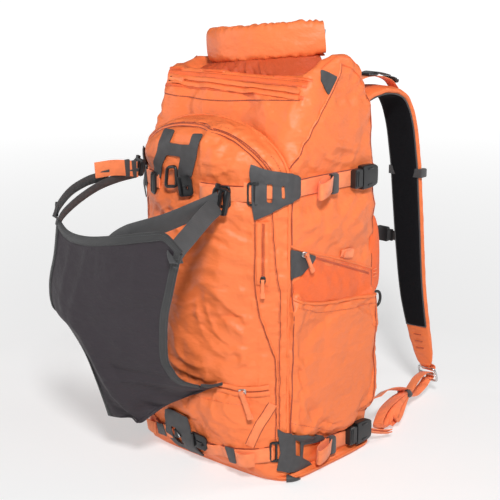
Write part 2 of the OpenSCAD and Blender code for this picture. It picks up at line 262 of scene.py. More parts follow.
def mesh_knit():
    """Spacer mesh: a tight lattice of holes."""
    color = (0.005, 0.005, 0.006)
    n = Nodes("spacer_mesh", color, 0.85)
    cells = n.add("ShaderNodeTexVoronoi", feature="F1")
    cells.inputs["Scale"].default_value = 520.0
    n.link(n.place, cells.inputs["Vector"])
    n.colors(cells.outputs["Distance"], [(0.15, (0.004, 0.004, 0.005)), (0.5, shade(color, 1.7))])
    n.bumps((cells.outputs["Distance"], 0.5, 0.0006), (n.noise(40.0, 3.0), 0.15, 0.001))
    n.shader.inputs["Specular IOR Level"].default_value = 0.08
    return n.material


def plastic():
    color = (0.012, 0.012, 0.013)
    n = Nodes("moulded_plastic", color, 0.42)
    n.colors(n.noise(50.0, 3.0), [(0.3, shade(color, 0.85)), (0.7, shade(color, 1.25))])
    n.rough(n.noise(220.0, 3.0), 0.26, 0.42)
    n.bumps((n.noise(1400.0, 2.0), 0.12, 0.0001))
    return n.material


def metal(name, color, roughness):
    n = Nodes(name, color, roughness)
    n.shader.inputs["Metallic"].default_value = 1.0
    n.rough(n.noise(120.0, 3.0), roughness - 0.06, roughness + 0.1)
    n.bumps((n.noise(300.0, 2.0, (1, 1, 6)), 0.08, 0.0001))
    return n.material


ORANGE = (0.83, 0.188, 0.055)
DEEP = (0.80, 0.135, 0.034)
M = {
    "orange": fabric("orange_fabric", ORANGE, 0.46, 0.0009),
    "deep": fabric("deep_orange_fabric", DEEP, 0.5, 0.0009),
    "tape": webbing("orange_webbing", (0.93, 0.235, 0.080)),
    "thread": webbing("orange_thread", (0.50, 0.075, 0.022), 0.0004),
    # Painted shade: dark lines beside seams and along tape edges stand in for their shadows.
    "painted_shade": webbing("seam_shadow", (0.36, 0.045, 0.012), 0.0004),
    # Painted shade: the collar is orange cloth, coloured dark red-brown for the shade inside the neck.
    "collar": fabric("collar_painted_shade", (0.50, 0.075, 0.020), 0.6, 0.0009),
    "black_fabric": fabric("black_fabric", (0.030, 0.023, 0.029), 0.62, 0.0011, weave=0.3, crease=0.25),
    "black_tape": webbing("black_webbing", (0.05, 0.05, 0.052)),
    "elastic": webbing("ribbed_elastic", (0.020, 0.020, 0.021), 0.002),
    "hypalon": hypalon(),
    "mesh": mesh_knit(),
    "plastic": plastic(),
    "steel": metal("satin_steel", (0.62, 0.61, 0.6), 0.3),
    "aluminium": metal("aluminium_stay", (0.7, 0.7, 0.72), 0.35),
    "sheet": fabric("frame_sheet_plastic", (0.74, 0.74, 0.72), 0.45, 0.003, weave=0.1),
}


# ---------------------------------------------------------------- geometry helpers, in millimetres
def curve(points, count, closed=False):
    """A smooth run of count points through the given ones (Catmull-Rom, even in length)."""
    p = [np.array(q, float) for q in points]
    n = len(p)
    spans = n if closed else n - 1
    dense = []
    for i in range(spans):
        a = p[(i - 1) % n] if closed or i > 0 else 2 * p[0] - p[1]
        b, c = p[i], p[(i + 1) % n]
        d = p[(i + 2) % n] if closed or i + 2 < n else 2 * p[-1] - p[-2]
        for t in np.linspace(0, 1, 12, endpoint=False):
            dense.append(0.5 * (2 * b + (c - a) * t + (2 * a - 5 * b + 4 * c - d) * t * t
                                + (3 * b - a - 3 * c + d) * t ** 3))
    dense.append(p[0] if closed else p[-1])
    dense = np.array(dense)
    run = np.concatenate([[0], np.cumsum(np.linalg.norm(np.diff(dense, axis=0), axis=1))])
    marks = np.linspace(0, run[-1], count + 1 if closed else count)
    out = np.column_stack([np.interp(marks, run, dense[:, k]) for k in range(dense.shape[1])])
    return out[:-1] if closed else out


def smooth(x, low, high):
    """0 below low, 1 above high, with a soft change between."""
    t = min(1.0, max(0.0, (x - low) / (high - low)))
    return t * t * (3 - 2 * t)


def ramp(x, xs, ys):
    """Straight lines between the listed values."""
    return float(np.interp(x, xs, ys))


def lumps(x, y, z):
    """Smooth noise at a point."""
    return noise.noise(Vector((x, y, z)))


def tangents(path, closed=False):
    """Unit directions along a path."""
    path = np.asarray(path, float)
    if closed:
        d = np.roll(path, -1, 0) - np.roll(path, 1, 0)
    else:
        d = np.gradient(path, axis=0)
    return d / np.maximum(np.linalg.norm(d, axis=1, keepdims=True), 1e-9)


def unit(v):
    """The same direction, of length one."""
    v = np.asarray(v, float)
    return v / max(np.linalg.norm(v), 1e-9)


class Shape:
    """Collects closed solids in millimetres and turns them into one object."""

    def __init__(self):
        self.verts = []
        self.faces = []

    def add(self, verts, faces):
        base = len(self.verts)
        self.verts += [tuple(float(c) for c in v) for v in verts]
        self.faces += [tuple(base + i for i in f) for f in faces]

    def loft(self, rings, closed=False):
        """Joins equal rings of points into a skin."""
        n = len(rings[0])
        verts = [p for ring in rings for p in ring]
        faces = []
        count = len(rings)
        for i in range(count if closed else count - 1):
            j = (i + 1) % count
            for k in range(n):
                m = (k + 1) % n
                faces.append((i * n + k, i * n + m, j * n + m, j * n + k))
        if not closed:
            faces.append(tuple(range(n - 1, -1, -1)))
            faces.append(tuple(range((count - 1) * n, count * n)))
        self.add(verts, faces)

    def sweep(self, path, section, across=None, closed=False):
        """Sweeps (sideways, outward) section points along a path; across fixes the sideways direction."""
        path = np.asarray(path, float)
        t = tangents(path, closed)
        rings = []
        side = None
        for i, p in enumerate(path):
            if across is not None:
                a = across[i] if np.ndim(across) == 2 else across
                side = unit(np.asarray(a, float) - np.dot(a, t[i]) * t[i])
            elif side is None:
                guess = (0, 0, 1) if abs(t[i][2]) < 0.9 else (1, 0, 0)
                side = unit(np.cross(guess, t[i]))
            else:
                side = unit(side - np.dot(side, t[i]) * t[i])
            up = np.cross(t[i], side)
            rings.append([p + side * u + up * v for u, v in section])
        self.loft(rings, closed)

    def tube(self, path, r, sides=8, closed=False):
        ring = [(r * math.cos(2 * math.pi * k / sides), r * math.sin(2 * math.pi * k / sides))
                for k in range(sides)]
        self.sweep(path, ring, closed=closed)

    def strap(self, path, across, w, t):
        """A flat tape with rolled edges."""
        e = min(t * 0.5, w * 0.2)
        h, k = w / 2, t / 2
        ring = [(-h, -k + e * 0.6), (-h + e, -k), (0, -k), (h - e, -k), (h, -k + e * 0.6),
                (h, k - e * 0.6), (h - e, k), (0, k), (-h + e, k), (-h, k - e * 0.6)]
        self.sweep(path, ring, across)

    def block(self, centre, size, axes=None, bevel=0.8):
        """A box with cut-back edges."""
        axes = np.eye(3) if axes is None else np.asarray(axes, float)
        h = np.array(size) / 2
        b = min(bevel, *(h * 0.45))
        bm = bmesh.new()
        bmesh.ops.create_cube(bm, size=2.0)
        for v in bm.verts:
            v.co = Vector((v.co.x * h[0], v.co.y * h[1], v.co.z * h[2]))
        bmesh.ops.bevel(bm, geom=bm.edges[:], offset=b, segments=2, affect="EDGES", profile=0.5)
        verts = [np.asarray(centre, float) + v.co[0] * axes[0] + v.co[1] * axes[1] + v.co[2] * axes[2]
                 for v in bm.verts]
        bm.verts.index_update()
        self.add(verts, [[v.index for v in f.verts] for f in bm.faces])
        bm.free()

    def done(self, name, material, body, slot, replaces=(), smooth_angle=35):
        mesh = bpy.data.meshes.new(name)
        mesh.from_pydata([Vector(v) * MM for v in self.verts], [], self.faces)
        mesh.validate()
        obj = new_object(name, mesh)
        fix_normals(obj)
        return dress(obj, material, body, replaces, smooth_angle)


def fix_normals(obj):
    bm = bmesh.new()
    bm.from_mesh(obj.data)
    bmesh.ops.recalc_face_normals(bm, faces=bm.faces)
    bm.to_mesh(obj.data)
    bm.free()


def dress(obj, material, body, replaces=(), smooth_angle=35):
    obj.data.materials.clear()
    obj.data.materials.append(M[material])
    obj.data.polygons.foreach_set("use_smooth", [True] * len(obj.data.polygons))
    if smooth_angle < 180:
        obj.data.set_sharp_from_angle(angle=math.radians(smooth_angle))
    if body is not None:
        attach(obj, body)
    if replaces:
        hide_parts(*([replaces] if isinstance(replaces, str) else replaces))
    return obj


def activate(obj):
    for o in bpy.context.selected_objects:
        o.select_set(False)
    obj.select_set(True)
    bpy.context.view_layer.objects.active = obj


def apply_all(obj):
    activate(obj)
    for modifier in list(obj.modifiers):
        bpy.ops.object.modifier_apply(modifier=modifier.name)


def remesh(obj, voxel):
    modifier = obj.modifiers.new("remesh", "REMESH")
    modifier.mode = "VOXEL"
    modifier.voxel_size = voxel * MM
    apply_all(obj)


def positions(mesh):
    co = np.zeros(len(mesh.vertices) * 3)
    mesh.vertices.foreach_get("co", co)
    return co.reshape(-1, 3)


SIM_STEPS = 18


def puff(obj, pin, pressure, grow, cap):
    """Cloth that swells between its pinned seams; pin gives a weight for a point in millimetres."""
    rest = positions(obj.data)
    group = obj.vertex_groups.new(name="pin")
    for i, co in enumerate(rest):
        w = pin(co / MM)
        if w > 0:
            group.add([i], w, "REPLACE")
    cloth = obj.modifiers.new("cloth", "CLOTH")
    s = cloth.settings
    s.quality = 5
    s.mass = 0.2
    s.tension_stiffness = 18
    s.compression_stiffness = 18
    s.shear_stiffness = 6
    s.bending_stiffness = 0.6
    s.use_pressure = True
    s.uniform_pressure_force = pressure
    s.shrink_min = -grow
    s.shrink_max = -grow
    s.vertex_group_mass = "pin"
    s.pin_stiffness = 1.0
    s.effector_weights.gravity = 0
    cloth.collision_settings.use_collision = False
    cloth.collision_settings.use_self_collision = False
    scene = bpy.context.scene
    for step in range(1, SIM_STEPS + 1):
        scene.frame_set(step)
    depsgraph = bpy.context.evaluated_depsgraph_get()
    moved = positions(obj.evaluated_get(depsgraph).data)
    obj.modifiers.clear()
    scene.frame_set(1)
    d = moved - rest
    length = np.maximum(np.linalg.norm(d, axis=1), 1e-9)
    limit = cap * MM
    d *= (limit * np.tanh(length / limit) / length)[:, None]
    obj.data.vertices.foreach_set("co", (rest + d).ravel())
    obj.vertex_groups.clear()
    obj.data.update()


def refine(obj):
    modifier = obj.modifiers.new("refine", "SUBSURF")
    modifier.levels = 1
    modifier.render_levels = 1
    apply_all(obj)


def displace(obj, height):
    """Moves each vertex along its normal by height(point, normal) in millimetres."""
    mesh = obj.data
    normals = [v.normal.copy() for v in mesh.vertices]
    for v, nrm in zip(mesh.vertices, normals):
        v.co += nrm * height(v.co / MM, nrm) * MM
    mesh.update()


def ripple(p, scale, seed=0.0):
    return lumps(p[0] / scale + seed, p[1] / scale, p[2] / scale)


def drape(p, way, wave, seed=0.0, sharp=1.6):
    """Long soft folds, wave millimetres apart along the direction way, coming and going over the cloth."""
    along = (p[0] * way[0] + p[1] * way[1] + p[2] * way[2]) / wave
    q = Vector((p[0], p[1], p[2])) / (2.3 * wave) + Vector((seed, 2 * seed, 0))
    phase = math.pi * along + 4.2 * noise.noise(q)
    shown = smooth(noise.noise(q * 0.8 + Vector((seed, 5, 1))), -0.22, 0.25)
    return shown * (1 - abs(math.sin(phase))) ** sharp


def crumple(p, size, seed=0.0, lean=0.0, narrow=0.10):
    """Folds in fabric, 0 to 1: long across x and y, size millimetres apart in z, tilted by lean."""
    across = p[0] + p[1]
    q = Vector((across / (2.4 * size) + seed, (p[0] - p[1]) / (3 * size), (p[2] + lean * across) / size))
    shown = smooth(noise.noise(q * 0.6 + Vector((0, 7, 0))), -0.10, 0.22)
    return shown * math.exp(-(noise.noise(q) / narrow) ** 2)


class Skin:
    """Finds the outside of the finished fabric, so that trim lies on it."""

    def __init__(self, objects):
        self.trees = []
        for obj in objects:
            bm = bmesh.new()
            bm.from_mesh(obj.data)
            self.trees.append(BVHTree.FromBMesh(bm))
            bm.free()

    def shoot(self, start, way):
        start, way = Vector(start) * MM, Vector(way).normalized()
        best = None
        for tree in self.trees:
            hit, normal, _, far = tree.ray_cast(start, way, 420 * MM)
            if hit is not None and (best is None or far < best[2]):
                best = (hit, normal, far)
        return best

    def spot(self, start, way):
        """A hit averaged over a small cross of rays, and its normal."""
        spread = 4.0
        way = np.asarray(way, float)
        start = np.asarray(start, float)
        side = unit(np.cross(way, (0, 0, 1) if abs(way[2]) < 0.9 else (1, 0, 0)))
        up = np.cross(way, side)
        hits = []
        for a, b in ((0, 0), (1, 0), (-1, 0), (0, 1), (0, -1)):
            h = self.shoot(start + spread * (a * side + b * up), way)
            if h is not None:
                hits.append(h)
        if not hits:
            near = min((tree.find_nearest(Vector(start + way * 250.0) * MM) for tree in self.trees),
                       key=lambda found: found[3])
            return np.array(near[0]) / MM, np.array(near[1])
        point = np.mean([np.array(h[0]) for h in hits], axis=0) / MM
        normal = unit(np.mean([np.array(h[1]) for h in hits], axis=0))
        return point, normal

    def front(self, x, z):
        return self.spot((x, -400, z), (0, 1, 0))

    def side(self, y, z, s=1):
        return self.spot((s * 400, y, z), (-s, 0, 0))

    def back(self, x, z):
        return self.spot((x, 300, z), (0, -1, 0))

    def round(self, angle, z, s=1):
        """Round the front corner: angle 0 faces the side, 90 faces the front."""
        a = math.radians(angle)
        way = np.array([s * math.cos(a), -math.sin(a), 0])
        hub = np.array([s * 90.0, -70.0, z])
        return self.spot(hub + 250 * way, -way)


def lay(skin_points, lift):
    """Points and normals of a route on the skin, lifted off it."""
    pts = np.array([p for p, _ in skin_points])
    nrm = np.array([n for _, n in skin_points])
    return pts + nrm * lift, nrm


def laid_strap(shape, places, w, t, lift=0.2):
    """A tape that follows the skin, flat against it."""
    path, nrm = lay(places, lift + t / 2)
    across = np.cross(tangents(path), nrm)
    shape.strap(path, across, w, t)
    return path, nrm


def laid_tube(shape, places, r, lift=0.0):
    path, _ = lay(places, lift)
    shape.tube(path, r, 6)


def stitch(shape, places, lift=0.5, offset=0.0, length=2.6, gap=1.5, r=0.38):
    """Raised thread dashes along a route on the skin."""
    path, nrm = lay(places, lift)
    side = np.cross(tangents(path), nrm)
    path = path + side * offset
    run = np.concatenate([[0], np.cumsum(np.linalg.norm(np.diff(path, axis=0), axis=1))])
    at = lambda s: np.array([np.interp(s, run, path[:, k]) for k in range(3)])
    up = lambda s: np.array([np.interp(s, run, nrm[:, k]) for k in range(3)])
    s = gap
    while s + length < run[-1]:
        a, b = at(s), at(s + length)
        n = up(s + length / 2)
        d = unit(b - a)
        w = np.cross(d, n) * r
        top = n * r
        shape.add([a - w, a + top, a + w, b - w, b + top, b + w],
                  [(0, 1, 4, 3), (1, 2, 5, 4), (0, 2, 1), (3, 4, 5), (0, 3, 5, 2)])
        s += length + gap


def flat_cut(loops):
    """A filled flat mesh between an outline and its holes."""
    bm = bmesh.new()
    for loop in loops:
        vs = [bm.verts.new((u, v, 0)) for u, v in loop]
        for i in range(len(vs)):
            bm.edges.new((vs[i], vs[(i + 1) % len(vs)]))
    bmesh.ops.triangle_fill(bm, use_beauty=True, use_dissolve=False, edges=bm.edges[:])
    return bm


def flat_object(name, bm):
    bmesh.ops.recalc_face_normals(bm, faces=bm.faces)
    mesh = bpy.data.meshes.new(name)
    bm.to_mesh(mesh)
    bm.free()
    return new_object(name, mesh)


def thicken(obj, thickness, offset, bevel):
    """Gives a flat mesh its thickness and cut-back edges, in millimetres."""
    solid = obj.modifiers.new("solid", "SOLIDIFY")
    solid.thickness = thickness * MM
    solid.offset = offset
    edge = obj.modifiers.new("bevel", "BEVEL")
    edge.width = bevel * MM
    edge.segments = 2
    edge.limit_method = "ANGLE"
    edge.angle_limit = math.radians(50)
    apply_all(obj)


def plate(name, outline, holes, place, t, material, lift, step=5.0, bevel=0.4, replaces=()):
    """A cut-out laid on the skin: outline and holes are (u, v) loops, place(u, v) gives point and normal."""
    bm = flat_cut([outline] + holes)
    for axis in (0, 1):
        values = [p[axis] for p in outline]
        low, span = min(values), max(values) - min(values)
        normal = Vector((1 - axis, axis, 0))
        cuts = int(span / step)
        for k in range(1, cuts + 1):
            at = low + k * span / (cuts + 1)
            geom = bm.verts[:] + bm.edges[:] + bm.faces[:]
            bmesh.ops.bisect_plane(bm, geom=geom, plane_co=normal * at, plane_no=normal)
    for v in bm.verts:
        point, nrm = place(v.co.x, v.co.y)
        v.co = Vector(point + nrm * lift) * MM
    obj = flat_object(name, bm)
    mesh = obj.data
    _, nrm = place(*outline[0])
    mean = Vector(np.mean([np.array(p.normal) for p in mesh.polygons], axis=0))
    if mean.dot(Vector(nrm)) < 0:
        mesh.flip_normals()
    thicken(obj, t, 1.0, bevel)
    return dress(obj, material, "pack", replaces)


def black_patch(name, outline, holes, place, t, lift, replaces=(), bevel=0.4):
    return plate(name, outline, holes, place, t, "hypalon", lift, 5.0, bevel, replaces)


def oval(u, v, w, h, n=14):
    return [(u + w / 2 * math.cos(2 * math.pi * k / n), v + h / 2 * math.sin(2 * math.pi * k / n))
            for k in range(n)]


def rounded(points, r, n=4):
    """Rounds the corners of a closed outline."""
    out = []
    m = len(points)
    for i in range(m):
        a, b, c = (np.array(points[(i + k - 1) % m], float) for k in range(3))
        d1, d2 = unit(a - b), unit(c - b)
        cut = min(r, 0.45 * np.linalg.norm(a - b), 0.45 * np.linalg.norm(c - b))
        p, q = b + d1 * cut, b + d2 * cut
        for k in range(n + 1):
            t = k / n
            out.append(tuple((1 - t) ** 2 * p + 2 * t * (1 - t) * b + t * t * q))
    return out


# ---------------------------------------------------------------- the body
HALF_W = 150.0
FRONT = -105.0
RISE = 86.0
ARCH_Z = 470.0
DEPTH = 65.0
UPPER_Z = 457.0
LOWER_Z = 33.0


def bag_profile(x):
    """Side outline (y, z) at a given x: up the back, over the top, down the front."""
    hump = 30 * smooth(x, 88, 140) + 10 * smooth(-x, 100, 140)
    dip = 1 - smooth(abs(x), 118, 146)
    return [(88, 3), (96, 30), (99, 76), (106, 200), (108, 330), (105, 445), (100, 500), (90, 557), (80, 585),
            (66, 606 + 0.5 * hump), (44, 616 + 0.75 * hump), (14, 620 + hump - 8 * dip),
            (-16, 616 + 0.9 * hump - 8 * dip), (-40, 613 + 0.7 * hump - 8 * dip), (-53, 617 + 0.35 * hump),
            (-61, 618 + 0.1 * hump), (-67, 604), (-84, 548), (-104, 490), (-106, 330), (-107, 150),
            (-108, 60), (-108, 20), (-104, 3)]


def shrink_outline(points, d):
    """Moves a closed counter-clockwise outline inward by d."""
    p = np.array(points, float)
    before, after = np.roll(p, 1, 0), np.roll(p, -1, 0)
    t = after - before
    t /= np.linalg.norm(t, axis=1, keepdims=True)
    inward = np.column_stack([-t[:, 1], t[:, 0]])
    return p + inward * d


def near_trim(p):
    """1 where a strap or a zip lies on the side panel, 0 away from them."""
    x, y, z = p
    if abs(x) < 138:
        return 0.0
    flap = 352 - 0.37 * (y + 44)
    gaps = ((abs(z - UPPER_Z), 14, 32), (abs(z - LOWER_Z), 14, 32), (abs(z - flap), 8, 24))
    return max(1 - smooth(gap, low, high) for gap, low, high in gaps)


def make_bag():
    """The main bag, lofted, puffed and folded."""
    shape = Shape()
    edge = 15.0
    half = [40, 80, 110, 126, 136, 143, 147, 149.4, 150]
    xs = [-x for x in reversed(half)] + [0] + half
    rings = []
    for x in xs:
        over = max(0.0, abs(x) - (HALF_W - edge)) / edge
        inset = edge * (1 - math.sqrt(max(0.0, 1 - over * over)))
        outline = curve(shrink_outline(bag_profile(x), inset), 96, closed=True)
        rings.append([(x, y, z) for y, z in outline])
    shape.loft(rings)
    bag = shape.done("bag_body", "orange", None, "orange_fabric")
    remesh(bag, 7.0)

    def pin(p):
        x, y, z = p
        keep = 0.0
        if z < 14 or z > 596 or y < FRONT + 4 and z < 560 and abs(x) < 144:
            keep = 1.0
        if y > 80 and abs(x) < 118:
            keep = 1.0
        if abs(x) > 140:
            keep = max(keep, near_trim(p))
            seam_y = side_seam_y(z)
            keep = max(keep, 0.8 * (1 - abs(y - seam_y) / 7) if z > 490 else 0)
        if abs(abs(x) - 146) < 5 and (y > 92 or y < -96):
            keep = max(keep, 0.85)
        return min(1.0, max(0.0, keep))

    puff(bag, pin, pressure=2.2, grow=0.035, cap=9.0)
    refine(bag)

    def soft(p, normal):
        calm = (smooth(abs(p[2] - UPPER_Z), 18, 34) * smooth(p[2], 62, 84)
                * smooth(p[1], FRONT + 4, FRONT + 22))
        s = 1 if p[0] > 0 else -1
        folds = (2.9 * drape(p, (0.3 * s, 0.55, 0.75), 46, 1.0, 1.3)
                 + 2.2 * drape(p, (0.5 * s, -0.6, 0.62), 33, 4.0, 1.3))
        folds += 1.2 * drape(p, (0.9 * s, 0.8, 0.2), 26, 7.0, 1.3) - 1.0 * crumple(p, 36, 8.0, 0.9, 0.14)
        swell = 4.6 * ripple(p, 75) + 1.5 * ripple(p, 30, 5.0) + 1.1 * calm * folds
        return swell * (1 - 0.92 * near_trim(p))

    displace(bag, soft)
    return bag


def side_seam_y(z):
    """The slanted seam on the side panel, from the front corner up to the shoulder."""
    return ramp(z, [490, 545, 592, 619, 640], [-104, -63, -18, 2, 6])


def arch_point(f, s):
    """Front pocket: f runs 1 at the rim to 0 in the middle, s runs 0 to 1 from lower right over the top."""
    foot_len, bow = 466.0, 380.0
    total = 2 * foot_len + bow
    along = s * total
    if along < foot_len:
        a, x, z = 0.0, f * HALF_W, 4 + along
    elif along > foot_len + bow:
        a, x, z = math.pi, -f * HALF_W, 4 + total - along
    else:
        a = math.pi * (along - foot_len) / bow
        x, z = f * HALF_W * math.cos(a), ARCH_Z + f * RISE * math.sin(a)
    power = 2.8 + 6.0 * math.sin(a) ** 1.5 if 0 < a < math.pi else 2.8
    deep = DEPTH * (1 - f ** power)
    foot = ramp(z, [4, 20, 45, 75, 100, 120, 160], [25, 34, 49, 60, 66, 74, 110])
    deep = -5 * math.log(math.exp(-deep / 5) + math.exp(-foot / 5))
    deep = max(0.0, deep) if f < 0.999 else 0.0
    return x, FRONT - deep, z


def arch_reach(x, z):
    """How far out a point of the front pocket lies: 0 in its middle, 1 at its rim."""
    return math.hypot(x / HALF_W, max(0, z - ARCH_Z) / RISE)


def make_front_pocket():
    """The arched front pocket, lofted, puffed and folded."""
    shape = Shape()
    fs = [1.0, 0.985, 0.965, 0.94, 0.91, 0.88, 0.85, 0.8, 0.74, 0.66, 0.56, 0.44, 0.3, 0.15, 0.02]
    columns = 150
    rings = [[arch_point(f, i / columns) for i in range(columns + 1)] for f in fs]
    rings.insert(0, [(x, FRONT + 6, z) for x, _, z in rings[0]])
    n = columns + 1
    verts = [p for ring in rings for p in ring]
    faces = []
    for i in range(len(rings) - 1):
        for k in range(columns):
            faces.append((i * n + k, i * n + k + 1, (i + 1) * n + k + 1, (i + 1) * n + k))
    faces.append(tuple(range(n - 1, -1, -1)))
    last = (len(rings) - 1) * n
    faces.append(tuple(range(last, last + n)))
    bottom = [i * n for i in range(len(rings))] + [i * n + n - 1 for i in reversed(range(len(rings)))]
    faces.append(tuple(bottom))
    shape.add(verts, faces)
    pocket = shape.done("front_pocket", "orange", None, "orange_fabric")
    remesh(pocket, 5.5)

    def pin(p):
        x, y, z = p
        if y > FRONT - 3 or z < 10:
            return 1.0
        keep = 0.0
        inner = arch_reach(x, z)
        if z > ARCH_Z:
            keep = max(keep, 1 - abs(inner - 0.87) / 0.05, 1 - abs(inner - 0.985) / 0.04)
        else:
            keep = max(keep, 1 - abs(abs(x) - 114) / 6, 1 - abs(abs(x) - 133) / 6)
        if abs(x) < 112:
            keep = max(keep, 1 - abs(z - UPPER_Z) / 16, 0.9 - abs(z - 150) / 9)
        keep = max(keep, 1 - abs(z - 60) / 16)
        if abs(x) < 32 and 440 < z < 545:
            keep = 1.0
        return min(1.0, max(0.0, keep))

    puff(pocket, pin, pressure=2.0, grow=0.05, cap=8.0)
    refine(pocket)

    def soft(p, normal):
        x, y, z = p
        free = smooth(z, 160, 200) * (1 - smooth(z, 400, 435)) * (1 - smooth(abs(x), 95, 116))
        wave = 3.2 * math.sin(x / 17 + 2.2 * ripple(p, 90, 3.0) + z / 120)
        folds = (2.4 * drape(p, (0.35, 0.0, 0.94), 33, 2.0, 1.2)
                 + 1.7 * drape(p, (-0.35, 0.0, 0.9), 24, 5.0, 1.2))
        folds += 1.4 * drape(p, (0.95, 0.0, 0.3), 34, 8.0, 1.2) - 0.8 * crumple(p, 30, 1.0, 0.5, 0.14)
        clear = (1 - smooth(y, FRONT - 6, FRONT - 1)) * smooth(z, 74, 100) * smooth(abs(z - UPPER_Z), 18, 34)
        clear *= 1 - smooth(z, 430, 445) * (1 - smooth(abs(x + 18), 40, 56))
        clear *= 1 - smooth(abs(x), 98, 108)
        reach = arch_reach(x, z)
        arch = smooth(z, ARCH_Z, ARCH_Z + 30) * (1.8 * math.exp(-((reach - 0.93) / 0.028) ** 2)
                                                 - 2.0 * math.exp(-((reach - 0.868) / 0.014) ** 2))
        return arch + free * wave + 1.4 * ripple(p, 45) + 0.7 * ripple(p, 18, 7.0) + 1.9 * clear * folds

    displace(pocket, soft)
    return pocket


SIDE_RIM = [(-103, 293), (-70, 280), (-40, 274), (30, 266), (104, 258)]
SIDE_FOOT = [(102, 84), (60, 62), (36, 51), (0, 52), (-28, 59), (-101, 88)]
SIDE_LIMIT = 165.0


def make_side_pocket(s, name):
    """A full, slightly baggy pocket on the side panel."""
    loop = (SIDE_RIM + SIDE_FOOT)[::-1]
    shape = Shape()
    rings = []
    for inset, x in ((0, 140), (0, 150.5), (1.5, 154), (5, 157.2), (12, 159.4), (26, 160.4), (44, 160.8)):
        outline = shrink_outline(curve(loop, 80, closed=True), inset)
        rings.append([(s * x, y, z) for y, z in outline])
    shape.loft(rings)
    obj = shape.done(name, "orange", None, "orange_fabric")
    remesh(obj, 5.0)

    def pin(p):
        x, y, z = p
        if abs(x) < 151.5:
            return 1.0
        rim_z = ramp(y, *zip(*SIDE_RIM))
        keep = max(0.0, 0.7 - abs(z - rim_z) / 8)
        keep = max(keep, 0.9 - min(abs(y + 101), abs(y - 101)) / 8)
        return min(1.0, keep)

    puff(obj, pin, pressure=1.6, grow=0.06, cap=5.0)
    refine(obj)

    def soft(p, normal):
        _, y, z = p
        sway = math.sin((y + 0.55 * z) / 21 + 2.5 * ripple(p, 80, 9.0 * s))
        low = 1 - smooth(z, 60, 200)
        folds = (3.0 * drape(p, (0.0, 0.85, 0.5), 62, 3.0 + s, 1.3)
                 + 2.4 * drape(p, (0.0, -0.55, 0.8), 48, 6.0 + s, 1.3))
        folds += 1.0 * drape(p, (0.0, 1.0, 0.1), 34, 9.0) * smooth(z, 120, 240)
        return 2.4 * low * sway + 4.4 * ripple(p, 60, 2.0) + 1.2 * ripple(p, 24) + 1.7 * folds

    displace(obj, soft)
    for v in obj.data.vertices:
        if abs(v.co.x) > SIDE_LIMIT * MM:
            v.co.x = math.copysign(SIDE_LIMIT * MM, v.co.x)
    return obj


bag = make_bag()
front_pocket = make_front_pocket()
side_right = make_side_pocket(1, "side_pocket_right_fabric")
side_left = make_side_pocket(-1, "side_pocket_left_fabric")
dress(bag, "orange", "pack", ["main_shell"], 180)
dress(front_pocket, "orange", "pack", ["front_pocket_shell"], 180)
dress(side_right, "orange", "pack", ["side_pockets"], 180)
dress(side_left, "orange", "pack", (), 180)
skin = Skin([bag, front_pocket, side_right, side_left])

SIDES = ((1, "right"), (-1, "left"))


def steps(low, high, n):
    """n even values from low to high."""
    return [low + (high - low) * i / (n - 1) for i in range(n)]


def route(points, count):
    """A smooth run of pairs, as tuples."""
    return [tuple(p) for p in curve(points, count)]


def on_side(points, count, s):
    """A smooth run of (y, z) pairs laid on the side panel."""
    return [skin.side(y, z, s) for y, z in route(points, count)]


def on_front(points, count):
    """A smooth run of (x, z) pairs laid on the front."""
    return [skin.front(x, z) for x, z in route(points, count)]


def onto_corner(s):
    """Places an (angle, z) pair on the rounded front corner."""
    return lambda a, z: skin.round(a, z, s)


def onto_side(s):
    """Places a (y, z) pair on the side panel."""
    return lambda y, z: skin.side(y, z, s)


def mirrored(points, s):
    return [(s * x, y, z) for x, y, z in points]


def right_only(s, node):
    """A CAD piece that both sides stand for is named once."""
    return node if s > 0 else ()


# ---------------------------------------------------------------- seams, piping and stitches
def shade_line(shape, places, offset, r=0.6, lift=0.5):
    """A thin line of painted shadow beside a seam."""
    path, nrm = lay(places, lift)
    shape.tube(path + np.cross(tangents(path), nrm) * offset, r, 5)


def shade_pair(shape, places, offset, lift=0.4):
    """Lines of painted shadow along both edges of a laid tape."""
    shade_line(shape, places, offset, 0.7, lift)
    shade_line(shape, places, -offset, 0.7, lift)


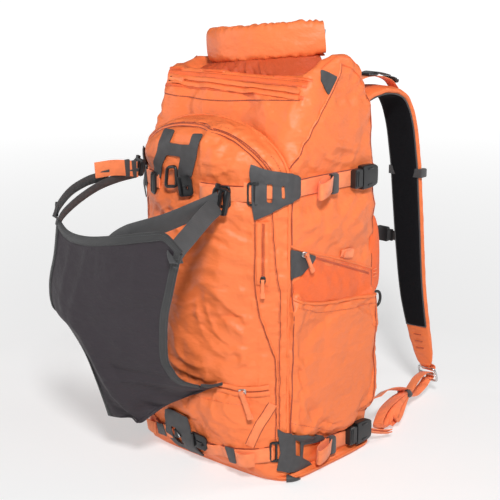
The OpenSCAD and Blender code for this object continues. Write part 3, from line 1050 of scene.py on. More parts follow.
def make_seams():
    """Piping, painted seam shadows and stitches of the bag and the front pocket."""
    piping, thread, painted_shade = Shape(), Shape(), Shape()
    rim = [arch_point(0.995, t) for t in steps(0.012, 0.988, 130)]
    piping.tube([(x, FRONT - 1.5, z) for x, _, z in rim], 2.1)
    inner = [arch_point(0.87, t) for t in steps(0.375, 0.625, 50)]
    inner = [skin.front(x, z) for x, _, z in inner]
    laid_tube(piping, inner, 1.9)
    shade_line(painted_shade, inner, 2.2, 1.0)
    shade_line(painted_shade, inner, -2.2, 0.7)
    ridge = [skin.front(x, z) for x, _, z in (arch_point(0.905, t) for t in steps(0.365, 0.635, 50))]
    shade_line(painted_shade, ridge, 0, 0.7)
    stitch(thread, inner, 0.6, 3.9)
    stitch(thread, inner, 0.6, -3.2)
    outer = [skin.front(x, z) for x, _, z in (arch_point(0.955, t) for t in steps(0.375, 0.625, 50))]
    stitch(thread, outer, 0.5)
    for s, _ in SIDES:
        inner_row = [(114, 486), (114, 400), (114, 315), (122, 262), (134, 214), (138, 190), (139, 60)]
        outer_row = [(132, 480), (134, 400), (138, 340), (142, 296), (142, 200), (142, 60)]
        for points, count, r in ((inner_row, 60, 1.5), (outer_row, 50, 0.9)):
            places = on_front([(s * x, z) for x, z in points], count)
            laid_tube(piping, places, r)
            shade_line(painted_shade, places, s * (r + 0.5))
            stitch(thread, places, 0.5, 3.4)
        slant = [(side_seam_y(z), z) for z in steps(493, 636, 12)]
        places = on_side(slant, 40, s)
        laid_tube(piping, places, 1.5)
        shade_line(painted_shade, places, 1.9, 0.9)
        stitch(thread, places, 0.5, 3.0)
        edge = [skin.round(a, z, s)
                for a, z in route([(27, 70), (27, 200), (27, 330), (27, 430), (26, 484)], 60)]
        shade_line(painted_shade, edge, 0, 1.1)
        rear = [(100, 60), (104, 200), (106, 330), (104, 445), (99, 500), (88, 557), (80, 582)]
        places = on_side([(y - 7, z) for y, z in rear], 60, s)
        laid_tube(piping, places, 1.4)
        shade_line(painted_shade, places, -1.9, 0.8)
        stitch(thread, places, 0.5, -3.2)
        low = [(y, 10) for y in steps(-98, 90, 12)]
        laid_tube(piping, on_side(low, 30, s), 1.6)
    across = on_front([(x, 128) for x in (-100, -50, 0, 50, 108)], 30)
    stitch(thread, across, 0.5)
    laid_tube(piping, across, 0.8)
    lean = on_front([(-138, 574), (-70, 573), (0, 575), (70, 583), (138, 588)], 40)
    stitch(thread, lean, 0.5)
    shade_line(painted_shade, lean, 0.8, 0.5)
    painted_shade.done("seam_shadows", "painted_shade", "pack", "orange_fabric")
    piping.done("seam_piping", "orange", "pack", "orange_fabric")
    thread.done("seam_stitches", "thread", "pack", "orange_fabric")


# ---------------------------------------------------------------- zips
def coil(shape, places):
    """Two rows of coil teeth meeting in the middle of a laid chain."""
    width, pitch = 5.0, 1.5
    path, nrm = lay(places, 1.1)
    t = tangents(path)
    side = np.cross(t, nrm)
    run = np.concatenate([[0], np.cumsum(np.linalg.norm(np.diff(path, axis=0), axis=1))])
    s, k = pitch, 0
    while s < run[-1] - pitch:
        p, w, n, d = (np.array([np.interp(s, run, a[:, i]) for i in range(3)]) for a in (path, side, nrm, t))
        w, n, d = unit(w), unit(n), unit(d)
        shift = (-1) ** k * width * 0.16
        shape.block(p + w * shift, (width * 0.62, pitch * 0.62, 1.5), (w, d, n), 0.3)
        s += pitch
        k += 1


def chain(name, node, places, coil_material="thread", flap=0.0, width=13.0):
    """A zip: its tape, its teeth and, with a flap, the two lips over it."""
    strip = Shape()
    laid_strap(strip, places, width, 0.9, 0.1)
    strip.done(name + "_tape", "orange", "pack", "orange_fabric")
    teeth = Shape()
    coil(teeth, places)
    teeth.done(name + "_coil", coil_material, "pack", "black_fabric", node)
    if flap:
        path, nrm = lay(places, 2.6)
        side = np.cross(tangents(path), nrm)
        for sign in (-1, 1):
            lip = Shape()
            lip.strap(path + side * sign * (4.6 + flap), side, 7.0, 1.8)
            lip.done(f"{name}_lip_{'b' if sign > 0 else 'a'}", "orange", "pack", "orange_fabric")


def zip_axes(base, x_axis, z_axis):
    """A place and its three axes: x along the zip, z out of the fabric."""
    x = unit(x_axis)
    z = unit(np.asarray(z_axis, float) - np.dot(z_axis, x) * x)
    return np.array(base, float), np.array([x, np.cross(z, x), z])


def turned(axes, yaw):
    """The axes turned about their z by yaw degrees."""
    a = math.radians(yaw)
    x, y, z = axes
    return np.array([x * math.cos(a) + y * math.sin(a), -x * math.sin(a) + y * math.cos(a), z])


def slider(node, base, axes, yaw, material="plastic"):
    """A zip slider: its body and the bridge that holds the pull."""
    shape = Shape()
    at = lambda p, ax: base + p[0] * ax[0] + p[1] * ax[1] + p[2] * ax[2]
    outline = [(-6, 2.6), (-2, 4.4), (4, 4.4), (6, 3.2), (6, -3.2), (4, -4.4), (-2, -4.4), (-6, -2.6)]
    rings = [[at((u * k, v * k, h), axes) for u, v in outline]
             for h, k in ((0.4, 0.86), (0.9, 1.0), (2.6, 1.0), (3.2, 0.84))]
    shape.loft(rings)
    turn = turned(axes, yaw)
    arch = [(-3.2, 2.6), (-3.3, 5.2), (-2.6, 6.8), (0, 7.3), (2.6, 6.8), (3.3, 5.2), (3.2, 2.6)]
    shape.tube(curve([at((0, v, h), turn) for v, h in arch], 16), 0.95)
    shape.done(node, material, node, "black_plastic", node)


def pull(node, base, axes, yaw, length, w=5.0):
    """A cord pull: looped through the slider, two strands bound at the end."""
    turn = turned(axes, yaw)
    at = lambda p: base + p[0] * turn[0] + p[1] * turn[1] + p[2] * turn[2]
    shape = Shape()
    low = 6.8
    ring = [at((-2.2, 0, low)), at((-1.2, 0, low + 2.0)), at((1.0, 0, low + 2.2)), at((4, 0, low + 1.2)),
            at((8, 0, low + 0.8)), at((length, 0, low + 0.8))]
    under = [at((-2.2, 0, low)), at((-1.2, 0, low - 2.0)), at((1.0, 0, low - 2.2)), at((4, 0, low - 1.4)),
             at((8, 0, low - 0.9)), at((length, 0, low - 0.9))]
    shape.strap(curve(ring, 22), turn[1], w, 1.1)
    shape.strap(curve(under, 22), turn[1], w, 1.1)
    shape.block(at((length - 3.5, 0, low)), (8.0, w + 1.6, 3.6), turn, 1.0)
    shape.done(node, "tape", node, "orange_webbing", node)


TOP_LEAN = math.atan2(45, 132)
TOP_OUT = np.array([0, -math.cos(TOP_LEAN), math.sin(TOP_LEAN)])
SIDE_FALL = math.radians(-21.2)


def make_zips():
    top = [skin.spot(np.array([x, -66.2, 594]) + TOP_OUT * 200, -TOP_OUT) for x in steps(-136, 136, 40)]
    chain("top_zip", "top_zip", top, coil_material="deep", flap=0.2)
    base, axes = zip_axes((-128, -66.2, 594), (1, 0, 0), TOP_OUT)
    base = base + axes[2] * 2.8
    slider("top_zip_slider", base, axes, 0)
    pull("top_zip_pull", base, axes, 0, 30)

    turn = front_turn(122)
    out = (math.sin(turn), -math.cos(turn), 0)
    front = [skin.spot((122 + 150 * out[0], front_y(122) + 150 * out[1], z), (-out[0], -out[1], 0))
             for z in steps(319, 414, 26)]
    chain("front_zip", "front_zip", front, flap=1.4, width=15)
    base, axes = zip_axes((122, front_y(122), 326), (0, 0, 1), out)
    base = base + axes[2] * 1.5
    slider("front_zip_slider", base, axes, 180)
    pull("front_zip_pull", base, axes, 180, 26)

    low = on_front([(60, 153), (82, 150), (100, 149), (112, 150), (130, 153)], 22)
    chain("low_zip", "low_pocket_zip", low, flap=0.2, width=11)
    turn = math.radians(22.8)
    base, axes = zip_axes((98, front_y(98), 150), (math.cos(turn), math.sin(turn), 0),
                          (math.sin(turn), -math.cos(turn), 0))
    base = base + axes[2] * 3.0
    slider("low_zip_slider", base, axes, -90, "steel")
    pull("low_zip_pull", base, axes, -70, 44, w=7.5)

    run, drop = math.cos(SIDE_FALL), math.sin(SIDE_FALL)
    for s, side in SIDES:
        places = [skin.side(-84 + d * run, 362 + d * drop, s) for d in steps(0, 186, 40)]
        chain(f"side_zip_{side}", right_only(s, "side_zips"), places)
        base, axes = zip_axes((s * 150, -84 + 8 * run, 362 + 8 * drop), (0, run, drop), (s, 0, 0))
        base = base + axes[2] * 2.4
        node = f"side_zip_slider_{side}"
        slider(node, base, axes, -90 * s, "steel")
        node = f"side_zip_pull_{side}"
        pull(node, base, axes, -42 * s, 32, w=6.0)


def front_y(x):
    """Depth of the front pocket at a given x."""
    return FRONT - DEPTH * (1 - (abs(x) / HALF_W) ** 2.8)


def front_turn(x):
    """How far the front has turned towards the side at a given x, in radians."""
    return math.atan(DEPTH * 2.8 / HALF_W * (abs(x) / HALF_W) ** 1.8)


# ---------------------------------------------------------------- patches
def slot_hole(u, v, w, h):
    """A rounded slot of width w and height h about (u, v)."""
    a, b, c, d = u - w / 2, u + w / 2, v - h / 2, v + h / 2
    return rounded([(a, c), (b, c), (b, d), (a, d)], 2.2)


def make_patches():
    """Corner, pocket, rim and claw patches, with the marks moulded on the corner ones."""
    for s, side in SIDES:
        outline = [(76, 500), (66, 494), (50, 490), (32, 485), (19, 482), (15.5, 478), (15, 468), (15, 452),
                   (17, 447), (26, 444), (40, 438), (56, 427), (72, 418), (73.5, 419), (75, 434), (76, 466),
                   (77, 484)]
        holes = [slot_hole(55.5, 458, 6.4, 28), slot_hole(39.5, 459, 4.2, 19)]
        black_patch(f"corner_patch_{side}", outline, holes, onto_corner(s), 1.6, 3.0,
                    right_only(s, "upper_patches"))
        marks = Shape()
        for k, high in ((25, 7.0), (22.5, 10.0), (20, 6.0)):
            laid_tube(marks, [skin.round(k, z, s) for z in steps(463 - high, 463 + high, 6)], 0.5, 2.7)
        marks.done(f"corner_patch_marks_{side}", "hypalon", "pack", "black_hypalon")

        tri = [(-104, 372), (-84, 365), (-47, 351), (-50, 345), (-58, 338), (-80, 329), (-104, 324)]
        black_patch(f"pocket_patch_{side}", rounded(tri, 5), [], onto_side(s), 1.3, 1.6,
                    right_only(s, "seam_patches"))
        drop = 0 if s > 0 else 20
        quad = [(-36, 630 - drop), (-3, 617 - drop), (-22, 591 - drop), (-41, 614 - drop)]
        black_patch(f"rim_patch_{side}", rounded(quad, 4), [], onto_side(s), 1.3, 0.6)
        outline = [(45, 91), (37, 85), (27, 80), (2, 72), (-20, 62), (-36, 54), (-39, 46), (-23, 47),
                   (4, 53), (6, 32), (-10, 20), (-22, 11), (2, 12), (30, 16), (46, 22), (41, 50)]
        hole = rounded([(21, 68), (11, 63), (10.5, 36), (20, 41)], 2)
        black_patch(f"claw_patch_{side}", rounded(outline, 3), [hole], onto_corner(s), 1.6, 3.8,
                    right_only(s, "lower_patches"))


# ---------------------------------------------------------------- webbing on the body
def strap_bar(shape, base, axes, w, h, r):
    """A rectangular ring with rounded corners in the plane of axes 0 and 1."""
    loop = rounded([(-w / 2, -h / 2), (w / 2, -h / 2), (w / 2, h / 2), (-w / 2, h / 2)], r * 2)
    shape.tube([base + u * axes[0] + v * axes[1] for u, v in loop], r, 6, closed=True)


def frame_at(point, normal, up=(0, 0, 1)):
    """A place and its axes: sideways, up and out."""
    n = unit(normal)
    u = unit(np.asarray(up, float) - np.dot(up, n) * n)
    return np.array(point, float), np.array([np.cross(u, n), u, n])


def anchor_bar(bar, s, x, z, lift, size, post, block):
    """A bar ring on the front skin with the two posts that hold it."""
    point, normal = skin.front(s * x, z)
    base, axes = frame_at(point + normal * lift, normal)
    strap_bar(bar, base, axes, *size, 1.9)
    for v in (-post, post):
        bar.block(base + axes[1] * v + axes[0] * s * 5, block, axes, 1.0)


def keeper_loop(shape, s, place, w, h, width):
    """An elastic keeper round the side webbing."""
    x, y, z = place
    ring = [(s * x + s * u, y, z + v) for u, v in rounded([(-w, -h), (w, -h), (w, h), (-w, h)], 4)]
    shape.strap(ring + ring[:1], (0, 1, 0), width, 1.8)


def tongue(points, high):
    """A tape lifted off the front between its ends."""
    places = on_front(points, 14)
    path, nrm = lay(places, 4.0)
    rise = np.sin(np.linspace(0.15, math.pi, len(path)))[:, None] * high
    return path + nrm * rise


def curl(s, z, y0, y1):
    """A folded-back tape end on the side, standing off as an open loop; y0 is under the keeper."""
    d = y0 - y1
    shape = [(154.6, 0), (155.4, 0.4), (158.0, 0.8), (163.0, 1.03), (168.5, 1.12), (172.0, 1.04),
             (172.6, 0.86), (171.0, 0.6), (167.6, 0.36), (163.4, 0.14), (160.2, 0)]
    return [(s * x, y0 - d * f, z - 4.0 * f * f) for x, f in curve(shape, 40)]


def make_upper_webbing():
    """Tape, keeper, painted shadow lines along the tape edges, and bars of the upper compression straps."""
    for s, side in SIDES:
        web, black, bar = Shape(), Shape(), Shape()
        start = 31 if s > 0 else 58
        places = on_front([(s * x, UPPER_Z - 2) for x in (start, 70, 90, 108)], 30)
        laid_strap(web, places, 22, 2.2, 1.6)
        shadow = Shape()
        shade_pair(shadow, places, 11.6, 0.5)
        if s > 0:
            web.strap(tongue([(34, 452), (48, 453), (60, 453)], 7), (0, 0.1, 1), 21, 1.7)
        laid_strap(web, [skin.round(a, UPPER_Z + 4, s) for a in steps(84, 2, 26)], 23, 1.6, 0.3)
        under = on_side([(-92, 461), (-60, 461), (-20, 460), (40, 458), (98, 457)], 40, s)
        laid_strap(web, under, 24, 2.0, 1.2)
        shade_pair(shadow, under, 12.6)
        shadow.done(f"upper_webbing_edge_shadows_{side}", "painted_shade", "pack", "orange_webbing")
        web.strap(curl(s, 458.5, -20, -55), (0.1 * s, 0, 1), 25, 1.7)
        ridges = (449, 452.5, 465, 468.5)
        for z in ridges:
            a = [(s * x, y, z) for x, y in curve([(165.5, -30), (170.0, -41), (172.6, -50)], 6)]
            web.tube(np.array(a) + (s * 0.9, 0, 0), 0.35, 5)
        keeper_loop(black, s, (157.4, -13.5, 458), 4.6, 15, 13)
        tab = on_side([(84, 457), (104, 456)], 6, s)
        laid_strap(web, tab, 28, 2.0, 2.0)
        web.done(f"upper_webbing_{side}", "tape", "pack", "orange_webbing", right_only(s, "upper_webbing"))
        black.done(f"upper_keeper_{side}", "black_tape", "pack", "black_webbing",
                   right_only(s, "strap_keepers"))
        anchor_bar(bar, s, 108, UPPER_Z - 1, 3.4, (9.5, 32), 16, (12, 4.4, 3.6))
        point, normal = skin.front(s * 73, UPPER_Z - 7)
        base, axes = frame_at(point + normal * 4.4, normal)
        strap_bar(bar, base, axes, 15, 30, 2.2)
        bar.block(base + axes[2] * 0.6, (4.2, 30, 3.6), axes, 1.2)
        bar.block(base + axes[0] * -s * 7.5 + axes[2] * 0.8, (4.0, 33, 4.4), axes, 1.6)
        bar.done(f"strap_bars_{side}", "plastic", "pack", "black_plastic", right_only(s, "strap_bars"))


def make_lower_webbing():
    """Tape, keeper, corner ribbon, painted shadow lines along the tape edges, and bars of the lower
    compression straps.
    """
    for s, side in SIDES:
        web, black, bar = Shape(), Shape(), Shape()
        level = lambda x: ramp(x, [10, 45, 80, 110, 140], [33, 38, 42, 43, 50])
        front_row = lambda xs, n: on_front([(s * x, level(x)) for x in xs], n)
        start = (22, 45) if s > 0 else (54, 60)
        places = front_row((*start, 70, 95, 118, 134), 40)
        laid_strap(web, places, 22, 2.2, 1.6)
        shadow = Shape()
        shade_pair(shadow, places, 11.6, 0.5)
        end = front_row((88, 96, 106, 113), 14)
        path, nrm = lay(end, 5.0)
        rise = np.sin(np.linspace(0.1, 2.6, len(path)))[:, None] * 7
        web.strap(path + nrm * rise + np.array([0, 0, -3.0]), (0, -0.2, 1), 23, 1.7)
        path, nrm = lay(places, 5.0)
        near = np.abs(np.abs(path[:, 0]) - 78.5) < 8.0
        black.strap(path[near], np.cross(tangents(path), nrm)[near], 27, 2.0)
        ribbon = on_front([(s * 134, 130), (s * 118, 92), (s * 106, 60)], 20)
        laid_strap(web, ribbon, 13, 1.4, 0.6)
        shade_pair(shadow, ribbon, 7.0)
        anchor_bar(bar, s, 134, 52, 3.0, (9, 30), 14.5, (12, 4.2, 3.4))
        under = on_side([(-30, 33), (0, 32.5), (40, 31), (98, 30)], 36, s)
        laid_strap(web, under, 24, 2.0, 1.2)
        shade_pair(shadow, under, 12.6)
        shadow.done(f"lower_webbing_edge_shadows_{side}", "painted_shade", "pack", "orange_webbing")
        web.strap(curl(s, 34, -12, -50), (0.1 * s, 0, 1), 24, 1.7)
        keeper_loop(black, s, (157.6, -9, 33), 4.8, 14.5, 12)
        tail = [(156, 88, 26), (158, 98, 22), (161, 112, 17), (165, 130, 12), (166, 138, 10.5)]
        for rise in (0, 4.2):
            run = [(x, y, z + rise) for x, y, z in mirrored(curve(tail, 16), s)]
            web.strap(run, (0.75 * s, -0.35, 0.55), 11, 2.0)
        web.done(f"lower_webbing_{side}", "tape", "pack", "orange_webbing", right_only(s, "lower_webbing"))
        black.done(f"lower_keeper_{side}", "black_tape", "pack", "black_webbing")
        bar.done(f"lower_bars_{side}", "plastic", "pack", "black_plastic")


def buckle(s, side, level, z):
    """Housing on the pack, clip with three prongs on its own body."""
    x0 = 152.3
    at = lambda y, w, h: (s * (x0 + h), y, z + w)
    shape = Shape()
    half = lambda y: ramp(y, [52, 58, 78, 86, 90], [18.2, 19, 18.2, 16.2, 13.5])
    for sign in (-1, 1):
        rings = []
        for y in steps(52, 88, 10):
            h = half(y)
            w0, w1 = (h - 4.2) * sign, h * sign
            rings.append([at(y, w0, 0.8), at(y, w1, 2.2), at(y, w1, 9.2), at(y, w0, 10.8)])
        shape.loft(rings)
    for h0, h1 in ((0.2, 2.0), (9.4, 11.3)):
        rings = []
        for y in steps(53.5 if h0 > 5 else 52, 89, 12):
            h = half(y) - 0.4
            bow = 1.2 * math.sin(math.pi * (y - 52) / 38) if h0 > 5 else 0
            brow, crown = h1 + bow * 0.35, h1 + bow * 0.5
            rings.append([at(y, -h, h0), at(y, h, h0), at(y, h * 0.96, h1 - 0.6), at(y, h * 0.5, brow),
                          at(y, 0, crown), at(y, -h * 0.5, brow), at(y, -h * 0.96, h1 - 0.6)])
        shape.loft(rings)
    shape.block(at(88, 0, 5.8), (9.5, 4.0, 25), None, 1.2)
    for w in (-13.5, 13.5):
        shape.block(at(71, w * 0.93, 11.6), (1.4, 12, 3.0), None, 0.5)
    shape.done(f"buckle_housing_{level}_{side}", "plastic", "pack", "black_plastic",
               right_only(s, "buckle_housings") if level == "upper" else (), 30)
    clip = Shape()
    rings = []
    for y in steps(33, 51.4, 8):
        h = ramp(y, [33, 36, 46, 51.4], [13.0, 15, 15, 14.2])
        rings.append([at(y, -h, 2.0), at(y, -h + 1, 0.6), at(y, h - 1, 0.6), at(y, h, 2.0), at(y, h, 9.4),
                      at(y, h - 1.4, 10.8), at(y, -h + 1.4, 10.8), at(y, -h, 9.4)])
    clip.loft(rings)
    for y in (36.5, 41.5):
        clip.block(at(y, 0, 11.0), (1.2, 2.2, 23), None, 0.5)
    for w in (-9.5, 9.5):
        rings = []
        for y in steps(50, 79, 9):
            h = ramp(y, [50, 66, 72, 79], [2.6, 2.6, 3.5, 1.4])
            c = w * ramp(y, [50, 72, 79], [0.96, 1.02, 0.98])
            rings.append([at(y, c - h, 3.3), at(y, c + h, 3.3), at(y, c + h, 8.1), at(y, c - h, 8.1)])
        clip.loft(rings)
    clip.block(at(60, 0, 5.7), (4.6, 20, 3.6), None, 1.0)
    node = f"clip_{level}_{side}"
    clip.done(node, "plastic", node, "black_plastic", node, 30)


def make_buckles():
    for s, side in SIDES:
        for level, z in (("upper", UPPER_Z), ("lower", LOWER_Z)):
            buckle(s, side, level, z)


make_seams()
make_zips()
make_patches()
make_upper_webbing()
make_lower_webbing()
make_buckles()


# ---------------------------------------------------------------- roll, collar, rim and base
TILT = math.radians(7.0)
ROLL_Y = 108.0
ROLL_Z = 657.0


def tilt(x, y, h):
    """A point of the level roll, tipped so that its right end is higher."""
    x = 1.06 * x - 3
    return (x * math.cos(TILT) - h * math.sin(TILT), y, ROLL_Z + x * math.sin(TILT) + h * math.cos(TILT))


def spiral():
    """Cross-section of the rolled fabric: (depth, height) down the middle of the sheet."""
    turns, points = 2.35, 84
    out = []
    for i in range(points + 1):
        a = -math.pi / 2 - 2 * math.pi * turns * i / points
        shrink = 5.0 * turns * i / points
        c, s = math.cos(a), math.sin(a)
        w, h = 16.5 - shrink * 0.72, 29.0 - shrink * 0.9
        out.append((w * math.copysign(abs(c) ** 0.62, c), h * math.copysign(abs(s) ** 0.5, s)))
    return out


def make_roll():
    """The rolled closure, its webbing behind it, and the buckle's housing and clip."""
    shape = Shape()
    line = np.array(spiral())
    t = tangents(line)
    n = np.column_stack([-t[:, 1], t[:, 0]])
    rings = []
    count = 120
    for i in range(count + 1):
        a = math.radians(-49.5 + 99 * i / count)
        end = smooth(abs(i / count - 0.5), 0.40, 0.5)
        ring = []
        for sign in (1, -1):
            order = range(len(line)) if sign > 0 else range(len(line) - 1, -1, -1)
            for k in order:
                d, h = line[k] + n[k] * sign * 0.9
                p = Vector((a * 8.0, k * 0.05, 1.7))
                top = smooth(h, 14, 28)
                uneven = 3.2 * noise.noise(p * 2.2) + 1.2 * math.sin(a * 62 + 3 * noise.noise(p))
                h = h * (1 - 0.05 * end) + top * uneven
                h += (1 - smooth(h, -27, -12)) * 3.4 * lumps(a * 17, 3.3, k * 0.03)
                d = d * (1 - 0.16 * end) + 1.1 * lumps(a * 5, h / 22, 9.1)
                pleat = smooth(-a, 0.45, 0.85) * 0.5 * math.sin(a * 170)
                r = 140.5 + d + pleat * (d > 8)
                ring.append(tilt(r * math.sin(a), ROLL_Y - r * math.cos(a), h))
        rings.append(ring)
    shape.loft(rings)
    shape.done("roll_top_fabric", "orange", "roll", "orange_fabric", "roll_top", 60)
    web = Shape()
    for s, _ in SIDES:
        path = [(s * 104, 20), (s * 101, 27), (s * 92, 31.5), (s * 78, 32.5), (s * 60, 32), (s * 45, 32)]
        web.strap([tilt(x, y, 2) for x, y in curve(path, 26)], (0.07, 0, 1), 20, 1.8)
        loop = [(s * 48, 30.4), (s * 56, 29.6), (s * 70, 29.4), (s * 74, 30.6)]
        web.strap([tilt(x, y, 2) for x, y in curve(loop, 12)], (0.07, 0, 1), 19, 1.5)
    web.done("roll_webbing", "black_tape", "roll", "black_webbing")
    shape = Shape()
    at = lambda x, y, h: tilt(x, y, h + 2)
    for h0, h1 in ((-14, -9.5), (9.5, 14)):
        rings = []
        for x in steps(-43, -1, 8):
            bulge = 1.5 * math.sin(math.pi * (x + 43) / 42)
            lo, hi = (h0 - bulge, h1) if h0 < 0 else (h0, h1 + bulge)
            section = ((27.2, lo), (36.8, lo), (37.6, (lo + hi) / 2), (36.8, hi), (27.2, hi))
            rings.append([at(x, y, h) for y, h in section])
        shape.loft(rings)
    for y0, y1 in ((26.2, 28.4), (35.6, 37.8)):
        rings = [[at(x, y0, -12), at(x, y1, -12), at(x, y1, 12), at(x, y0, 12)] for x in steps(-43, -2, 6)]
        shape.loft(rings)
    shape.block(at(-41, 32, 0), (5, 11, 25), None, 1.0)
    shape.done("roll_buckle_housing_mould", "plastic", "roll", "black_plastic", "roll_buckle_housing", 30)
    shape = Shape()
    rings = [[at(x, 26.6, -w), at(x, 37.4, -w), at(x, 37.4, w), at(x, 26.6, w)]
             for x, w in ((0.8, 11.6), (3, 12), (14, 12), (17.8, 10))]
    shape.loft(rings)
    for h in (-6.5, 6.5):
        rings = [[at(x, 29.6, h - w), at(x, 34.4, h - w), at(x, 34.4, h + w), at(x, 29.6, h + w)]
                 for x, w in ((1, 2.2), (-16, 2.2), (-22, 2.8), (-28, 1.2))]
        shape.loft(rings)
    shape.done("roll_clip_mould", "plastic", "roll_clip", "black_plastic", "roll_buckle_clip", 30)


def make_collar():
    """The gathered neck between the rim and the roll; its dark colour is painted shade."""
    rim = [(-118, -7), (-112, -40), (-70, -51), (0, -53), (70, -51), (112, -40), (118, -7), (110, 26),
           (60, 37), (0, 39), (-60, 37), (-110, 26)]
    arc = lambda r, deg: (r * math.sin(math.radians(deg)), ROLL_Y - r * math.cos(math.radians(deg)))
    neck = [arc(138, -49)] + [arc(151, t) for t in (-44, -26, 0, 26, 44)] + [arc(138, 49)]
    neck += [arc(127, t) for t in (40, 22, 0, -22, -40)]
    count = 220
    low, high = curve(rim, count, closed=True), curve(neck, count, closed=True)
    shape = Shape()
    rings = []
    levels = 14
    for j in range(levels + 1):
        f = j / levels
        ring = []
        for k in range(count):
            p = low[k] * (1 - f) + high[k] * f
            d = tangents(np.array([low[k - 1] * (1 - f) + high[k - 1] * f, p,
                                   low[(k + 1) % count] * (1 - f) + high[(k + 1) % count] * f]))[1]
            out = np.array([d[1], -d[0]])
            swell = math.sin(math.pi * min(1, f * 1.05)) ** 0.8
            x = p[0]
            calm = smooth(x, 30, 90) * (1 if p[1] < 10 else 0)
            fold = math.sin(k * 0.60 + 3.5 * lumps(k * 0.04, f * 1.5, 2.0))
            fold += 0.6 * math.sin(k * 1.17 + 5.0 * f + 4 * lumps(k * 0.07, f, 7.0))
            bulge = swell * (3.0 + (1 - calm) * 3.2 * fold)
            p = p + out * (bulge - 3.0 * f)
            top_z = ROLL_Z + x * math.tan(TILT) - 24
            z = 600 * (1 - f) + top_z * f + (1 - calm) * 2.0 * swell * math.cos(k * 0.6)
            ring.append((p[0], p[1], z))
        rings.append(ring)
    shape.loft(rings)
    obj = shape.done("collar_painted_shade", "collar", None, "orange_fabric", "collar", 180)
    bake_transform(obj)


def make_rim():
    """Ribbed bands under the mouth, the lip over them and the ridges on both shoulders."""
    band, thread = Shape(), Shape()
    row = lambda x, z: skin.spot(np.array([x, -60, z]) + TOP_OUT * 200, -TOP_OUT)
    for z, w in ((606, 9.0), (585, 6.0)):
        places = [row(x, z + 0.02 * x) for x in steps(-146, 142, 60)]
        laid_strap(band, places, w, 1.3, 0.25)
        for off in (-w / 2 + 1.2, w / 2 - 1.2):
            stitch(thread, places, 1.7, off, 2.2, 1.3, 0.3)
    lip = [row(x, 614 + 0.022 * x) for x in steps(-147, 146, 60)]
    laid_tube(band, lip, 2.6, 0.4)
    for s, _ in SIDES:
        hump = [(-34, 630), (-16, 640), (2, 648), (16, 648), (34, 640), (50, 628)]
        laid_tube(band, [skin.spot((s * 146, y - 60, z + 300), (0, 0.2, -1)) for y, z in hump], 1.4, 0.2)
        crease = on_side([(8, 634), (26, 628), (44, 618), (58, 603), (62, 596)], 20, s)
        laid_tube(band, crease, 1.0)
    band.done("rim_bands", "deep", "pack", "orange_fabric")
    thread.done("rim_stitches", "thread", "pack", "orange_fabric")


def make_base():
    """The tray under the bag, its piping and the dark tips round its front corners."""
    outline = [(-146, 95), (-158, 62), (-160, -30), (-159, -84), (-150, -108), (-128, -121), (-92, -128),
               (0, -130), (92, -128), (128, -121), (150, -108), (159, -84), (160, -30), (158, 62),
               (146, 95), (80, 98), (-80, 98)]
    loop = curve(outline, 140, closed=True)
    shape = Shape()
    rings = []
    levels = ((0.0, 14), (0.0, 6), (0.8, 2.6), (3.0, 0.6), (6.0, 0.2), (9.5, 2.2), (12.5, 6.5), (14, 13))
    for z, inset in levels:
        ring = shrink_outline(loop, inset)
        uneven = 0.5 if z > 2 else 0
        rings.append([(x, y, z + uneven * lumps(x / 30, y / 30, 1)) for x, y in ring])
    shape.loft(rings)
    shape.done("base_tray", "orange", "pack", "orange_fabric", "base_panel", 180)
    trim = Shape()
    welt = [(x, y, 7.2) for x, y in shrink_outline(loop, -0.2)]
    trim.tube(welt, 1.9, 8, closed=True)
    trim.done("base_piping", "orange", "pack", "orange_fabric")
    tips = Shape()
    tip_z = [0.6, 3.0, 5.5, 7.2, 9.0, 10.5, 13.4]
    tip_out = [-1, 1.0, 2.4, 3.0, 2.4, 0, -4.5]
    for s, _ in SIDES:
        rings = []
        for k, a in enumerate(steps(-10, 50, 12)):
            c, q = math.cos(math.radians(a)), -math.sin(math.radians(a))
            tall = 1.4 + 12.0 * (k / 12) ** 0.8
            ring = []
            for z in tip_z:
                z = min(z, tall)
                r = 26.5 + ramp(z, tip_z, tip_out)
                ring.append((s * (134 + r * c), -90 + r * q, z))
            ring += [(s * (134 + 20 * c), -90 + 20 * q, tall), (s * (134 + 20 * c), -90 + 20 * q, 0.6)]
            rings.append(ring)
        tips.loft(rings)
    tips.done("base_corner_tips", "hypalon", "pack", "black_hypalon", "corner_guards", 50)


# ---------------------------------------------------------------- ladder patch, foot patch and hook clips
def hook_clip(name, node, base, axes, w, h, hole):
    """A flat moulded hook: plate with a hole, a raised rim and a turned-over lip."""
    outline = rounded([(-w / 2, -h / 2), (w / 2 - 3, -h / 2), (w / 2, -h / 2 + 4), (w / 2, h / 2 - 5),
                       (w / 2 - 5, h / 2), (-w / 2, h / 2)], 4)
    bm = flat_cut([outline, oval(*hole)])
    for vert in bm.verts:
        u, v = vert.co.x, vert.co.y
        sag = 2.2 * (abs(u) / (w / 2)) ** 2
        vert.co = Vector(base + axes[0] * u + axes[1] * v - axes[2] * sag) * MM
    obj = flat_object(name, bm)
    thicken(obj, 3.2, 0, 0.9)
    dress(obj, "plastic", node, node)
    extra = Shape()
    extra.block(base - axes[0] * (w / 2 - 4) + axes[2] * 1.2, (5, h * 0.9, 4), axes, 1.2)
    extra.block(base + axes[0] * 2 + axes[2] * 1.0, (w * 0.42, 2.2, 2.6), axes, 0.8)
    rim = [base + axes[0] * (hole[0] + 3.0 * math.cos(k * math.pi / 6))
           + axes[1] * (hole[1] + 3.4 * math.sin(k * math.pi / 6)) + axes[2] * 0.9 for k in range(12)]
    extra.tube(rim, 0.7, 6, True)
    extra.done(name + "_ribs", "plastic", node, "black_plastic")


